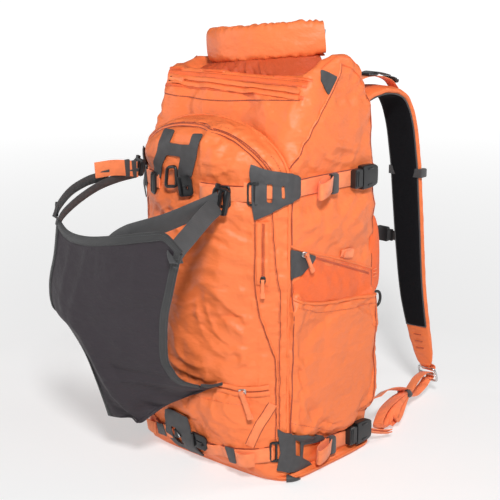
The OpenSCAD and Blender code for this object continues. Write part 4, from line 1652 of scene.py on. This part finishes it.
def make_ladder():
    """The H-shaped patch with its hook and ring, and the hook at the foot."""
    outline = [(-59, 533), (-30, 535), (-29, 527), (-33, 518), (-10, 518), (11, 520), (12, 528), (12, 535),
               (33, 536), (26, 504), (10, 462), (-17, 460), (-15, 475), (-8, 500), (-38, 499), (-53, 471),
               (-56, 460), (-79, 460), (-72, 474), (-55, 504)]
    black_patch("ladder_patch_hypalon", rounded(outline, 3, 2), [], skin.front, 1.7, 1.6, "ladder_patch")
    mark = Shape()
    laid_tube(mark, on_front([(-39, 510), (-16, 509), (9, 511)], 14), 0.6, 2.3)
    mark.done("ladder_patch_mark", "plastic", "pack", "black_hypalon")
    thread = Shape()
    for ends in (((-50, 531), (-30, 532)), ((16, 534), (29, 533))):
        stitch(thread, on_front(ends, 8), 2.6, 0, 2.0, 1.2, 0.35)
    thread.done("ladder_patch_stitches", "black_tape", "pack", "black_hypalon")
    base, axes = frame_at((8, -180.5, 459), (0.15, -1, 0.05), (-0.22, 0, 1))
    hook_clip("ladder_hook_mould", "ladder_hook", base, axes, 25, 31, (4, -3, 3.6, 5.5))
    ring = Shape()
    bow = rounded([(-34, 452), (-30, 482), (-12, 486), (-10, 456)], 6)
    ring.tube([(x, -179.0, z) for x, z in bow], 2.6, 8, closed=True)
    ring.done("ladder_hook_ring", "plastic", "ladder_hook", "black_plastic", (), 180)
    point, normal = skin.front(13, 47)
    base, axes = frame_at(point + normal * 6.3, normal, (0.10, 0, 1))
    hook_clip("base_hook_mould", "base_hook", base, axes, 30, 27, (7, -3, 3.4, 3.4))
    pin = Shape()
    pin.block((-38, -159, 44), (9, 5, 13), None, 2.0)
    pin.tube([(-42, -160, 50), (-36, -162, 47), (-30, -161, 40)], 2.4, 8)
    pin.done("foot_patch_pin", "plastic", "pack", "black_plastic")


def make_foot_patch():
    """The black patch at the foot of the front pocket."""
    outline = [(-50, 88), (-38, 91), (-3, 84), (-6, 58), (-8, 40), (8, 16), (-8, 13), (-28, 12), (-52, 13),
               (-72, 22), (-67, 46), (-58, 70)]
    hole = rounded([(-50, 56), (-39, 56), (-31, 44), (-34, 24), (-46, 22), (-54, 34)], 4)
    black_patch("foot_patch", rounded(outline, 5, 3), [hole], skin.front, 1.8, 3.0, bevel=0.5)


make_roll()
make_collar()
make_rim()
make_base()
make_ladder()
make_foot_patch()


# ---------------------------------------------------------------- helmet holder
FOLD_SPAN = 0.35
EDGE_POINTS = 200


def swing(obj):
    """Bakes a holder piece's placement into its mesh."""
    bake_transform(obj)


class Panel:
    """The holder's cloth: a patch between four edges, then a strip back to the slit."""

    def __init__(self):
        self.left = curve([(-131, -310, 411), (-143, -308, 356), (-159, -304, 319), (-170, -298, 293),
                           (-172, -293, 267), (-150, -288, 248), (-124, -274, 201), (-117, -256, 144),
                           (-109, -240, 81)], EDGE_POINTS)
        self.top = curve([(-131, -310, 411), (-100, -316, 396), (-47, -325, 398), (21, -330, 412),
                          (78, -325, 425), (107, -318, 428), (130, -308, 405)], EDGE_POINTS)
        self.right = curve([(130, -308, 405), (112, -300, 377), (88, -290, 327), (63, -275, 283),
                            (38, -252, 218), (36, -240, 194), (38, -222, 171), (52, -192, 157),
                            (70, -168, 158)], EDGE_POINTS)
        self.fold = curve([(-109, -240, 81), (-84, -238, 84), (-61, -235, 89), (-51, -232, 82),
                           (-42, -225, 91), (-28, -208, 106), (5, -190, 125), (40, -177, 144),
                           (70, -168, 158)], EDGE_POINTS)
        self.slit = curve([(-72, -162, 149), (-30, -166, 149), (20, -167, 149), (66, -161, 153)], EDGE_POINTS)

    @staticmethod
    def along(line, f):
        """The point at share f of an edge."""
        f = min(1.0, max(0.0, f)) * (EDGE_POINTS - 1)
        i = min(EDGE_POINTS - 2, int(f))
        return line[i] * (1 - (f - i)) + line[i + 1] * (f - i)

    def base(self, u, v):
        """The smooth cloth: u runs from the left edge to the right, v down to the fold and past it."""
        if v > 1:
            w = (v - 1) / FOLD_SPAN
            a, b = self.along(self.fold, u), self.along(self.slit, u)
            p = a * (1 - w) + b * w
            span = np.linalg.norm(a - b)
            return (p + np.array([0, 4.0, -0.16 * span]) * math.sin(math.pi * w)
                    * (1 - 0.9 * smooth(u, 0.7, 1.0)))
        side = self.along(self.left, v) * (1 - u) + self.along(self.right, v) * u
        ends = self.along(self.top, u) * (1 - v) + self.along(self.fold, u) * v
        corners = ((self.left[0] * (1 - u) + self.top[-1] * u) * (1 - v)
                   + (self.left[-1] * (1 - u) + self.right[-1] * u) * v)
        p = side + ends - corners
        belly = math.sin(math.pi * u) ** 0.8 * math.sin(math.pi * min(1.0, v * 1.02)) ** 0.8
        return p + np.array([-0.15, -0.8, -0.25]) * 20 * belly

    @staticmethod
    def wrinkle(u, v):
        """Height of the folds in millimetres."""
        edge = smooth(u, 0, 0.08) * (1 - smooth(u, 0.94, 1)) * smooth(v, 0.0, 0.06)
        h = 1.7 * lumps(u * 3.2, v * 3.0, 4.0) + 1.0 * lumps(u * 9, v * 5, 1.0)
        h += 0.35 * lumps(u * 22, v * 16, 6.0)
        low = smooth(v, 0.55, 0.9)
        sweep = math.sin((v * 9 - u * 13) + 2.5 * lumps(u * 3, v * 3, 8))
        h += low * 2.6 * sweep * (1 - 0.6 * smooth(v, 1, 1.1))
        line = v - (0.60 + 0.22 * u)
        h -= 3.4 * math.exp(-(line / 0.028) ** 2) * smooth(u, 0.25, 0.5) * (1 - smooth(u, 0.8, 0.95))
        h += 2.4 * math.exp(-((line - 0.05) / 0.035) ** 2) * smooth(u, 0.25, 0.5) * (1 - smooth(u, 0.8, 0.95))
        for place, tall, lean in ((0.16, 2.0, 0.10), (0.34, 1.4, -0.06), (0.74, 1.4, 0.14)):
            h += tall * (1 - smooth(v, 0.25, 0.6)) * math.exp(-((u - place - lean * v) / 0.035) ** 2)
        return h * edge

    def point(self, u, v):
        return self.base(u, v) + self.normal(u, v) * self.wrinkle(u, v)

    def normal(self, u, v):
        e = 0.01
        du = self.base(min(1, u + e), v) - self.base(max(0, u - e), v)
        w = min(1.34, max(e, v))
        dv = self.base(u, w + e) - self.base(u, w - e)
        n = unit(np.cross(du, dv))
        return n if n[1] < 0 or v > 1 else -n


def make_holder():
    """The stretch panel with its bindings, and the straps and hooks that hang it on the pack."""
    panel = Panel()
    nu, nv = 110, 150
    verts = []
    for j in range(nv + 1):
        v = (1 + FOLD_SPAN) * j / nv
        for i in range(nu + 1):
            verts.append(panel.point(i / nu, v))
    faces = [(j * (nu + 1) + i, j * (nu + 1) + i + 1, (j + 1) * (nu + 1) + i + 1, (j + 1) * (nu + 1) + i)
             for j in range(nv) for i in range(nu)]
    mesh = bpy.data.meshes.new("holder_cloth")
    mesh.from_pydata([Vector(v) * MM for v in verts], [], faces)
    cloth = new_object("holder_cloth", mesh)
    relax = cloth.modifiers.new("relax", "SMOOTH")
    relax.iterations = 2
    relax.factor = 0.5
    solid = cloth.modifiers.new("solid", "SOLIDIFY")
    solid.thickness = 1.3 * MM
    solid.offset = 0
    apply_all(cloth)
    dress(cloth, "black_fabric", None, ["holder_panel", "holder_root"], 180)
    swing(cloth)

    def edge_piece(shape, name, material, slot):
        obj = shape.done(name, material, None, slot)
        swing(obj)

    def border(points, name, w=14.0, inward=5.0):
        path, across = [], []
        for u, v in points:
            p = panel.base(u, v)
            n = panel.normal(u, v)
            path.append(p + n * 0.6)
            across.append(n)
        path, across = np.array(path), np.array(across)
        t = tangents(path)
        side = np.cross(t, across)
        centre = panel.base(0.5, 0.5)
        sign = np.sign(np.sum(side * (centre - path), axis=1))
        side = side * sign[:, None]
        edge = Shape()
        edge.strap(path + side * inward, side, w, 3.6)
        edge_piece(edge, name, "elastic", "black_webbing")
        thread = Shape()
        rows = [(p + s * (inward + w / 2 - 1.6) + n * 1.9, n) for p, s, n in zip(path, side, across)]
        stitch(thread, rows, 0.1, 0, 2.2, 1.4, 0.35)
        rows = [(p + s * 1.2 + n * 1.7, n) for p, s, n in zip(path, side, across)]
        stitch(thread, rows, 0.1, 0, 2.2, 1.4, 0.35)
        edge_piece(thread, name + "_stitches", "black_tape", "black_fabric")

    border([(u, 0.0) for u in steps(0.0, 1.0, 90)], "holder_hem")
    border([(1.0, v) for v in steps(0.015, 1.0, 110)], "holder_side_binding", 12.5, 4.5)
    border([(0.0, v) for v in steps(0.015, 1.0, 80)], "holder_left_binding", 8.0, 3.0)
    fold = Shape()
    fold.tube([panel.base(u, 1.0) + np.array([0, -0.6, -0.6]) for u in steps(0.02, 0.97, 60)], 1.1, 6)
    edge_piece(fold, "holder_fold", "black_fabric", "black_fabric")

    straps, hooks, tapes = Shape(), Shape(), Shape()
    a = curve([(-6, -322, 388), (12, -322, 402), (30, -320, 413), (46, -312, 421), (60, -270, 428),
               (71, -215, 440), (76, -180, 447)], 40)
    b = curve([(116, -306, 386), (108, -300, 398), (96, -258, 415), (84, -212, 433), (78, -184, 441)], 40)
    straps.strap(a, (0.05, 0.0, 1.0), 28, 1.7)
    straps.strap(b, (-0.45, -0.40, 0.79), 27, 1.7)
    lean = (0.50, -0.46, 0.74)
    left = curve([(-107, -228, 468), (-113, -244, 465), (-119, -262, 461), (-127, -286, 449),
                  (-133, -304, 430), (-134, -314, 412)], 34)
    straps.strap(left, lean, 24, 1.7)
    left = curve([(-102, -172, 463), (-107, -205, 460), (-114, -240, 452), (-123, -272, 436),
                  (-130, -298, 417), (-130, -312, 402)], 34)
    straps.strap(left, lean, 22, 1.7)
    straps.done("holder_straps_webbing", "black_tape", "holder", "black_webbing", "holder_straps")
    forward = curve([(-101, -172, 468), (-100, -196, 474), (-103, -222, 478), (-108, -254, 478)], 24)
    tapes.strap(forward, (-0.1, 0, 1.0), 24, 1.8)
    tapes.done("holder_left_tape", "tape", "holder", "orange_webbing")
    keeper = Shape()
    for p in (3, 7):
        keeper.block(forward[p], (4.4, 9, 27), None, 1.2)
    keeper.done("holder_left_keeper", "black_tape", "holder", "black_webbing")
    for s, x, y, z in ((1, 77, -177, 446), (-1, -102, -170, 472)):
        base, axes = frame_at((x, y, z), (0.1 * s, -1, 0.15), (0.12, 0, 1))
        k = 1.0 if s > 0 else 0.62
        w = 12.5 if s > 0 else 9.5
        loop = rounded([(-w, -17 * k), (w, -17 * k), (w, 17 * k), (-w, 17 * k)], 4)
        hooks.tube([base + u * axes[0] + v * axes[1] for u, v in loop], 3.2, 8, closed=True)
        hooks.block(base + axes[2] * 2.0, (6.0, 33 * k, 6.0), axes, 2.0)
        hooks.block(base + axes[0] * (w - 1) + axes[2] * 1.0, (6.4, 37 * k, 7.0), axes, 2.6)
        hooks.block(base - axes[0] * (w - 3.5) + axes[1] * 20 * k, (7, 9, 5), axes, 1.8)
        hooks.block(base - axes[0] * (w - 0.5) + axes[2] * 1.0, (5.0, 30 * k, 6.0), axes, 2.0)
    base, axes = frame_at((-134, -309, 424), (-0.6, -0.8, 0.1), (0.1, 0, 1))
    hooks.block(base, (5, 22, 6), axes, 1.6)
    hooks.done("holder_hooks_mould", "plastic", "holder", "black_plastic", "holder_hooks", 30)
    tacks = Shape()
    for p in (a[1], b[1]):
        for k in range(4):
            tacks.block(np.array(p) + (1.5, -2.0, -9 + 6 * k), (9, 1.0, 1.2), None, 0.3)
    tacks.done("holder_bar_tacks", "black_tape", "holder", "black_webbing")


# ---------------------------------------------------------------- shoulder straps
STRAP_PATH = [(72, 101, 536), (70, 116, 549), (69, 140, 560), (69, 175, 569), (69, 210, 570), (69, 245, 560),
              (69, 266, 537), (70, 280, 500), (72, 287, 457), (74, 291, 422), (76, 295, 370), (81, 310, 220),
              (85, 327, 136), (88, 337, 96), (90, 343, 70), (91, 346, 54)]


def strap_rows(count):
    """Centre, sideways, inward and half width down the strap."""
    path = curve(STRAP_PATH, count)
    t = tangents(path)
    rows = []
    for i, p in enumerate(path):
        f = i / (count - 1)
        side = unit(np.array([1.0, 0, 0]) - t[i][0] * t[i])
        inward = np.cross(t[i], side)
        half = ramp(f, [0, 0.08, 0.3, 0.6, 0.8, 0.92, 0.96, 0.985, 1.0],
                    [28, 30, 32, 30.5, 27.5, 23, 20, 16, 9])
        rows.append((p, side, inward, half))
    return rows


def make_shoulder_strap(s, side_name):
    """Shell, mesh lining, binding, tape, loops and keeper of one shoulder strap."""
    rows = strap_rows(150)
    mirror = np.array([s, 1, 1])
    shell, pad, bind, tape = Shape(), Shape(), Shape(), Shape()
    n = 36
    rings = []
    for i, (p, a, inn, half) in enumerate(rows):
        f = i / (len(rows) - 1)
        thick = ramp(f, [0, 0.05, 0.9, 0.97, 1], [4.5, 6.2, 6.0, 4.2, 2.4])
        ring = []
        for k in range(n):
            ang = 2 * math.pi * k / n
            c, q = math.cos(ang), math.sin(ang)
            u = half * math.copysign(abs(c) ** 0.55, c)
            v = thick * math.copysign(abs(q) ** 0.75, q)
            puffy = 0.9 * lumps(i * 0.12, u / 18, 3.0 + s)
            puffy += 0.5 * math.sin(i * 0.9 + 0.1 * u) * smooth(abs(u), half * 0.6, half)
            ring.append((p + a * u + inn * (v + puffy * (abs(v) > 2))) * mirror)
        rings.append(ring)
    shell.loft(rings)
    obj = shell.done(f"shoulder_strap_{side_name}_shell", "orange", "harness", "orange_fabric",
                     f"shoulder_strap_{side_name}", 180)
    inner = [r for i, r in enumerate(rows) if 0.055 < i / (len(rows) - 1) < 0.875]
    rings = []
    for i, (p, a, inn, half) in enumerate(inner):
        f = i / (len(inner) - 1)
        end = min(1.0, math.sin(math.pi * min(1, max(0, f * 20 + 0.02)) / 2) if f < 0.05 else 1.0)
        end = min(end, math.sqrt(max(0.02, (1 - f) * 30)) if f > 0.966 else 1.0)
        h = half - 4.2
        ring = []
        for k in range(n):
            ang = 2 * math.pi * k / n
            c, q = math.cos(ang), math.sin(ang)
            u = h * math.copysign(abs(c) ** 0.6, c)
            v = 4.2 + (5.6 * math.copysign(abs(q) ** 0.95, q)) * (0.5 + 0.5 * end)
            v += 0.7 * lumps(f * 24, u / 14, 8.0 + s)
            ring.append((p + a * u + inn * v) * mirror)
        rings.append(ring)
    pad.loft(rings)
    obj = pad.done(f"shoulder_strap_{side_name}_mesh", "mesh", "harness", "black_mesh", (), 180)
    for k in (-1, 1):
        bind.tube([(p + a * k * (half - 4.0) + inn * 5.4) * mirror for p, a, inn, half in inner], 1.5, 6)
    p, a, inn, half = inner[-1]
    bind.tube([(p + a * w * (half - 4) + inn * 6.2) * mirror for w in steps(-1, 1, 8)], 1.4, 6)
    bind.done(f"shoulder_strap_{side_name}_binding", "black_tape", "harness", "black_mesh")
    tacks = Shape()
    tack_rows, loop_rows = (0.905, 0.925, 0.945), (0.40, 0.62, 0.76)
    for f in tack_rows:
        p, a, inn, half = rows[int(f * (len(rows) - 1))]
        for k in range(7):
            u = (k - 3) * 2.4
            tacks.block((p + a * u + inn * 6.6) * mirror, (1.9, 1.2, 1.0), None, 0.3)
    tacks.done(f"shoulder_strap_{side_name}_tacks", "thread", "harness", "orange_fabric")
    outer = [r for i, r in enumerate(rows) if 0.30 < i / (len(rows) - 1) < 0.93]
    tape.strap([(p - inn * 7.0) * mirror for p, a, inn, half in outer], (s, 0, 0), 24, 1.5)
    tape.done(f"shoulder_strap_{side_name}_tape", "black_tape", "harness", "black_webbing")
    loops = Shape()
    for f in loop_rows:
        p, a, inn, half = rows[int(f * (len(rows) - 1))]
        t = np.cross(a, inn)
        arc = [p - inn * (7.6 + 3.0 * math.sin(math.pi * k / 10)) + t * (k - 5) * 1.7 for k in range(11)]
        loops.strap([q * mirror for q in arc], (s, 0, 0), 20, 1.4)
    loops.done(f"shoulder_strap_{side_name}_loops", "tape", "harness", "orange_webbing")
    slide = Shape()
    slide.block((s * 107, 291, 421), (9, 17, 15), None, 1.6)
    slide.block((s * 74, 283.5, 421), (62, 2.0, 15), None, 0.8)
    slide.done(f"strap_keeper_{side_name}", "black_tape", "harness", "black_webbing",
               right_only(s, "strap_hardware"))
    tip = Shape()
    loop = [(91, 348, 62), (91, 354, 57), (92, 360, 53), (92, 362, 48), (92, 357, 45), (91.5, 350, 47),
            (91, 346, 54)]
    tip.strap(mirrored(curve(loop, 40), s), (s, 0, 0), 21, 1.5)
    tip.done(f"strap_tip_loop_{side_name}", "tape", "harness", "orange_webbing")


def make_ladder_ring(s, side_name):
    """The steel ring at the foot of a shoulder strap."""
    shape = Shape()
    a = math.radians(-68)
    at = lambda x, l: (s * (92 + x), 348 + l * math.cos(a), 51 + l * math.sin(a))
    loop = rounded([(-17, 0), (17, 0), (19, 14), (17, 28), (-17, 28), (-19, 14)], 6, 5)
    shape.tube([at(x, l) for x, l in loop], 2.1, 10, closed=True)
    shape.tube([at(x, 14) for x in steps(-17.5, 17.5, 6)], 1.9, 10)
    shape.done(f"ring_{side_name}_wire", "steel", f"ring_{side_name}", "steel", f"ring_{side_name}", 180)


def make_harness_webbing(s, side_name):
    """Adjusting webbing at the foot, the gathered loops and the load lifter of one side."""
    mirror = lambda points: mirrored(points, s)

    def flexible(name, shape, material="tape", slot="orange_webbing", replaces=()):
        obj = shape.done(name, material, None, slot, replaces)
        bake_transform(obj)

    def lifting(name, shape, material, slot):
        obj = shape.done(name, material, None, slot)
        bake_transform(obj)

    upper = Shape()
    run = curve([(92, 350, 30), (92, 357, 27), (92, 361, 32), (92, 357, 39), (93, 348, 42), (95, 334, 45),
                 (100, 306, 43), (104, 280, 31), (109, 262, 31)], 60)
    upper.strap(mirror(run), (s, 0, 0.15), 18, 1.5)
    run = curve([(92, 350, 28), (94, 334, 20), (98, 306, 15), (103, 282, 20), (108, 264, 28)], 40)
    upper.strap(mirror(run), (s, 0, -0.15), 17, 1.5)
    flexible(f"strap_tail_upper_{side_name}", upper, replaces=right_only(s, "harness_webbing"))
    lower = Shape()
    run = curve([(109, 264, 34), (114, 238, 46), (122, 204, 58), (130, 170, 66), (138, 138, 66)], 50)
    lower.strap(mirror(run), (s * 0.9, 0.2, 0.5), 18, 1.5)
    flexible(f"strap_tail_pack_{side_name}", lower)
    bundle = Shape()
    gather = np.array([111, 256, 32])
    loops = ((150, 4, 20, 0.0), (160, 2, 13, 0.3), (172, 8, 17, -0.3), (142, 18, 14, 0.45),
             (180, 20, 9, -0.6))
    for k, (y, z, wide, twist) in enumerate(loops):
        x = 134 + 2.6 * k
        far = np.array([x, y, z])
        d = far - gather
        up = np.array([0, -0.35, 1.0])
        loop = [gather + up * 1.5, gather + d * 0.35 + up * wide * 0.7, gather + d * 0.75 + up * wide,
                far + up * wide * 0.55, far + d * 0.05, far - up * wide * 0.55,
                gather + d * 0.72 - up * wide * 0.8, gather + d * 0.35 - up * wide * 0.45, gather - up * 1.5]
        loop = [np.array([q[0], q[1], max(q[2], 6.5 + 1.5 * k)]) for q in loop]
        bundle.strap(mirror(curve(loop, 60)), (s, 0.35 * twist, twist * 0.5), 17, 1.4)
    flexible(f"webbing_bundle_{side_name}", bundle)
    keeper = Shape()
    ring = [(111 + 11.5 * math.cos(a), 256 + 2.5 * math.sin(a), 32 + 6.5 * math.sin(a))
            for a in steps(0, 2 * math.pi, 15)[:-1]]
    ring = ring + ring[:1]
    keeper.strap(mirror(ring), (0, 1, -0.25), 13, 2.0)
    flexible(f"bundle_keeper_{side_name}", keeper, "black_tape", "black_webbing")

    lifter = Shape()
    run = curve([(79, 92, 575), (79, 108, 586), (79, 135, 592), (78, 165, 596), (77, 200, 592),
                 (76, 228, 583), (75, 246, 569)], 50)
    lifter.strap(mirror(run), (s, 0, 0), 20, 1.6)
    lifting(f"load_lifter_{side_name}", lifter, "tape", "orange_webbing")
    lock = Shape()
    for (y, z, tiltz), (w, l) in (((172, 599, -0.05), (27, 26)), ((234, 584, -0.55), (25, 18))):
        t = unit((0, 1, tiltz))
        n = unit(np.cross((1, 0, 0), t))
        base = np.array([78.0, y, z])
        loop = rounded([(-w / 2, -l / 2), (w / 2, -l / 2), (w / 2 - 3, l / 2), (-w / 2 + 3, l / 2)], 5)
        lock.tube(mirror([base + np.array([1, 0, 0]) * u + t * v for u, v in loop]), 2.0, 8, closed=True)
        for v in (-l * 0.15, l * 0.2):
            bar = [base + np.array([u, 0, 0]) + t * v + n * 1.0 for u in steps(-w / 2, w / 2, 4)]
            lock.tube(mirror(bar), 1.6, 8)
    lifting(f"load_lifter_lock_{side_name}", lock, "plastic", "black_plastic")
    black = Shape()
    run = curve([(78, 160, 598), (78, 172, 602), (78, 190, 600), (77, 212, 595), (77, 222, 592)], 20)
    black.strap(mirror(run), (s, 0, 0), 20, 1.8)
    lifting(f"load_lifter_tail_{side_name}", black, "black_tape", "black_webbing")


def make_sternum():
    """The sternum strap with its sliding parts, housing and clip."""
    web, part, clip = Shape(), Shape(), Shape()
    y = 309.3
    for s, _ in SIDES:
        run = curve([(84, 311, 296), (66, 313, 296), (50, 314, 295), (36, 313.6, 295), (22, 313.4, 295)], 24)
        web.strap(mirrored(run, s), (0, 0, 1), 17, 1.5)
        part.block((s * 55, y + 5.2, 295), (16, 5.5, 27), None, 1.4)
        part.block((s * 30, y + 4.2, 295), (7, 4.6, 21), None, 1.2)
    web.done("sternum_webbing", "black_tape", "sternum", "black_webbing")
    for h0, h1 in ((-13, -8.5), (8.5, 13)):
        part.block((12, y + 4.5, 295 + (h0 + h1) / 2), (22, 8.6, h1 - h0), None, 1.3)
    part.block((12, y + 0.9, 295), (23, 1.8, 22), None, 0.7)
    part.block((12, y + 8.1, 295), (23, 1.8, 22), None, 0.7)
    part.done("sternum_buckle_mould", "plastic", "sternum", "black_plastic", "sternum_strap", 30)
    clip.block((-7.5, y + 4.5, 295), (13, 8.4, 23), None, 1.8)
    for z in (-6, 6):
        clip.block((8, y + 4.5, 295 + z), (17, 3.2, 4.6), None, 1.0)
    clip.done("sternum_clip_mould", "plastic", "sternum_clip", "black_plastic", "sternum_clip", 30)


# ---------------------------------------------------------------- back of the body
def soft_pad(name, rings, replaces, seed):
    """A mesh-covered foam pad, slightly puffed, with nothing pinned."""
    shape = Shape()
    shape.loft(rings)
    obj = shape.done(name, "mesh", None, "black_mesh")
    remesh(obj, 4.0)
    puff(obj, lambda p: 0.0, pressure=2.4, grow=0.02, cap=3.0)
    refine(obj)
    displace(obj, lambda p, _: 0.5 * ripple(p, 24, seed))
    dress(obj, "mesh", "pack", replaces, 180)


def back_y(z):
    """Depth of the back panel at a given height."""
    return ramp(z, [6, 76, 330, 445, 500, 590], [95, 99, 105, 105, 100, 76])


def make_back():
    """Back panel, pads, frame sheet and stays, sewn tabs, D-rings and haul handle."""
    outline = rounded([(-105, 112), (105, 112), (105, 480), (60, 490), (-60, 490), (-105, 480)], 22, 6)
    plate("back_panel_mesh", outline, [], skin.back, 2.6, "mesh", 0.4, 12.0, 0.8, "back_panel")
    for s, side in SIDES:
        loop = rounded([(28, 134), (94, 134), (96, 300), (94, 468), (28, 468)], 20, 6)
        rings = []
        for depth, inset in ((0, 3.0), (4, 0.6), (9, 0.4), (12.4, 3.0), (13.6, 9.0), (13.9, 16.0)):
            ring = shrink_outline(loop, inset)
            full = lambda z: ramp(z, [130, 200, 440, 470], [0.85, 0.95, 0.95, 0.6])
            rings.append([(s * x, back_y(z) + 4.2 + depth * full(z), z) for x, z in ring])
        soft_pad(f"back_pad_{side}", rings, right_only(s, "back_pads"), 2.0 + s)
        seam = Shape()
        rib_heights = (190, 246, 302, 358, 414)
        for z in rib_heights:
            bow = lambda x: 6 * math.sin((x - 28) / 66 * math.pi)
            seam.tube([(s * x, back_y(z) + 17.6, z + bow(x)) for x in steps(36, 88, 10)], 1.0, 6)
        seam.done(f"back_pad_ribs_{side}", "mesh", "pack", "black_mesh")
    loop = rounded([(-93, 33), (93, 33), (93, 101), (-93, 101)], 16, 6)
    rings = []
    for depth, inset in ((14.5, 1.5), (18, 0.3), (23, 1.5), (26, 8.0), (26.6, 15.0)):
        ring = shrink_outline(loop, inset)
        full = lambda z: ramp(z, [30, 60, 98, 104], [0.82, 1.0, 0.95, 0.6])
        rings.append([(x, 99.5 + depth * full(z), z) for x, z in ring])
    soft_pad("lumbar_pad_front", rings, "lumbar_pad", 5.0)
    shape = Shape()
    for z0, z1 in ((30, 40), (94, 104)):
        rings = [[(x, 100.3, z0), (x, 116, z0), (x, 116, z1), (x, 100.8, z1)] for x in steps(-92, 92, 14)]
        shape.loft(rings)
    shape.done("lumbar_pad_edges", "black_fabric", "pack", "black_fabric")
    sheet = Shape()
    sheet.block((0, 87.8, 275), (240, 1.6, 490), None, 0.5)
    sheet.done("frame_sheet_plate", "sheet", "pack", "hdpe", "frame_sheet")
    stays = Shape()
    for s, _ in SIDES:
        stays.block((s * 56, 85.3, 275), (12, 3.1, 490), None, 0.8)
    stays.done("frame_stays_bars", "aluminium", "pack", "aluminium", "frame_stays")

    loops, black = Shape(), Shape()
    for s, side in SIDES:
        tab = ((99.0, 52), (101.0, 98), (122, 84), (131, 74), (131, 66), (121, 60))
        loops.loft([[(s * x, y, z) for y, z in tab] for x in (127.5, 128.2, 130.8, 131.5)])
        for k in (0.0, 3.0):
            rows = [(s * (131.5 if k == 0 else 127.5), 103 + 3 * j, 62 + 1.6 * j) for j in range(8)]
            loops.tube(rows, 0.5, 5)
        run = curve([(79, 84, 560), (79, 90, 562), (79, 94, 568), (79, 93, 574), (79, 88, 580)], 16)
        black.strap(mirrored(run, s), (s, 0, 0), 25, 2.2)
        loop = curve([(138, 104, 243), (141, 109, 243), (142, 113.6, 243), (144, 113.4, 243),
                      (145.5, 108, 243), (146, 104, 243)], 20)
        loops.strap(mirrored(loop, s), (0, 0, 1), 13, 1.5)
        ring = Shape()
        bow = [(142, 111, 232), (142, 111, 254), (142, 122, 255.5), (142, 130, 252), (142, 133, 243),
               (142, 130, 234), (142, 122, 230.5)]
        ring.tube(mirrored(curve(bow, 40, closed=True), s), 2.3, 8, closed=True)
        ring.done(f"d_ring_{side}_mould", "plastic", f"d_ring_{side}", "black_plastic", f"d_ring_{side}", 180)
        black.block((s * 25, 84, 586), (12, 9, 7), None, 1.4)
    loops.done("orange_anchor_tabs", "tape", "pack", "orange_webbing", "anchor_loops")
    black.done("black_anchor_loops", "black_tape", "pack", "black_webbing")
    handle = Shape()
    run = curve([(-25, 93.5, 590), (-25.5, 93.7, 575), (-26.5, 94, 556), (-24, 94.3, 545), (-14, 94.4, 541),
                 (0, 94.4, 540), (14, 94.4, 541), (24, 94.3, 545), (26.5, 94, 556), (25.5, 93.7, 575),
                 (25, 93.5, 590)], 70)
    handle.strap(run, (0, -1, 0.0), 3.0, 10)
    grip = Shape()
    grip.tube([(x, 94.2, 541 + 0.0008 * x * x) for x in steps(-22, 22, 16)], 4.6, 12)
    handle.done("haul_handle_webbing", "black_tape", "haul_handle", "black_webbing", "haul_handle")
    grip.done("haul_handle_grip", "hypalon", "haul_handle", "black_hypalon", (), 180)


def shrink_ring(ring, inset):
    """Moves a ring's points towards its middle, in its own plane."""
    c = np.mean(np.array(ring), axis=0)
    out = []
    for p in ring:
        d = np.array(p) - c
        d[0] = 0
        out.append(np.array(p) - unit(d) * inset)
    return out


def make_side_details():
    """Flap edge, pocket hem, stretch panel, folded tape and rear wing on each side panel."""
    for s, side in SIDES:
        ridge, thread, tape = Shape(), Shape(), Shape()
        flap = on_side([(-104, 377), (-76, 364), (-44, 353), (15, 333), (85, 306), (98, 300)], 50, s)
        laid_tube(ridge, flap, 2.0, 0.6)
        stitch(thread, flap, 1.0, 4.5)
        rim = on_side([(-101, 296), (-90, 289), (-43, 276), (32, 267), (98, 259)], 50, s)
        laid_tube(ridge, rim, 2.6, 0.6)
        hem = on_side([(-100, 283), (-70, 272), (-43, 262), (32, 253), (97, 246)], 50, s)
        stitch(thread, hem, 0.6)
        foot = on_side([(-100, 96), (-50, 76), (-20, 62), (30, 56), (60, 64), (98, 84)], 50, s)
        stitch(thread, foot, 0.6)
        ridge.done(f"side_hems_{side}", "orange", "pack", "orange_fabric")
        thread.done(f"side_stitches_{side}", "thread", "pack", "orange_fabric")
        gap_fill = [(-60, 336), (-44, 351), (15, 331), (94, 301), (97, 262), (32, 269), (-43, 279),
                    (-96, 292), (-96, 318)]
        plate(f"stretch_panel_{side}", rounded(gap_fill, 5), [], onto_side(s), 0.8, "deep",
              0.15, 6.0, 0.2)
        run = on_side([(14, 343), (30, 342), (46, 337)], 12, s)
        laid_strap(tape, run, 12, 1.6, 1.4)
        laid_strap(tape, on_side([(20, 341), (40, 337)], 8, s), 11, 1.6, 3.4)
        edge = curve([(92, 252), (104, 256), (118, 268), (121, 300), (119, 340), (112, 372), (102, 388),
                      (96, 380), (94, 320)], 40, closed=True)
        wing = [[(s * x, y, z) for y, z in edge] for x in (143.0, 144.2, 147.2, 148.6)]
        rear = Shape()
        rear.loft([shrink_ring(ring, inset) for ring, inset in zip(wing, (3, 0, 0, 3))])
        rear.done(f"rear_wing_{side}", "deep", "pack", "orange_fabric", (), 180)
        for z in (286, 292, 298):
            tape.block((s * 149.6, 106, z), (1.2, 9, 1.6), None, 0.4)
        tape.done(f"side_tapes_{side}", "tape", "pack", "orange_webbing")


make_holder()
for sign, word in SIDES:
    make_shoulder_strap(sign, word)
    make_ladder_ring(sign, word)
    make_harness_webbing(sign, word)
make_sternum()
make_back()
make_side_details()
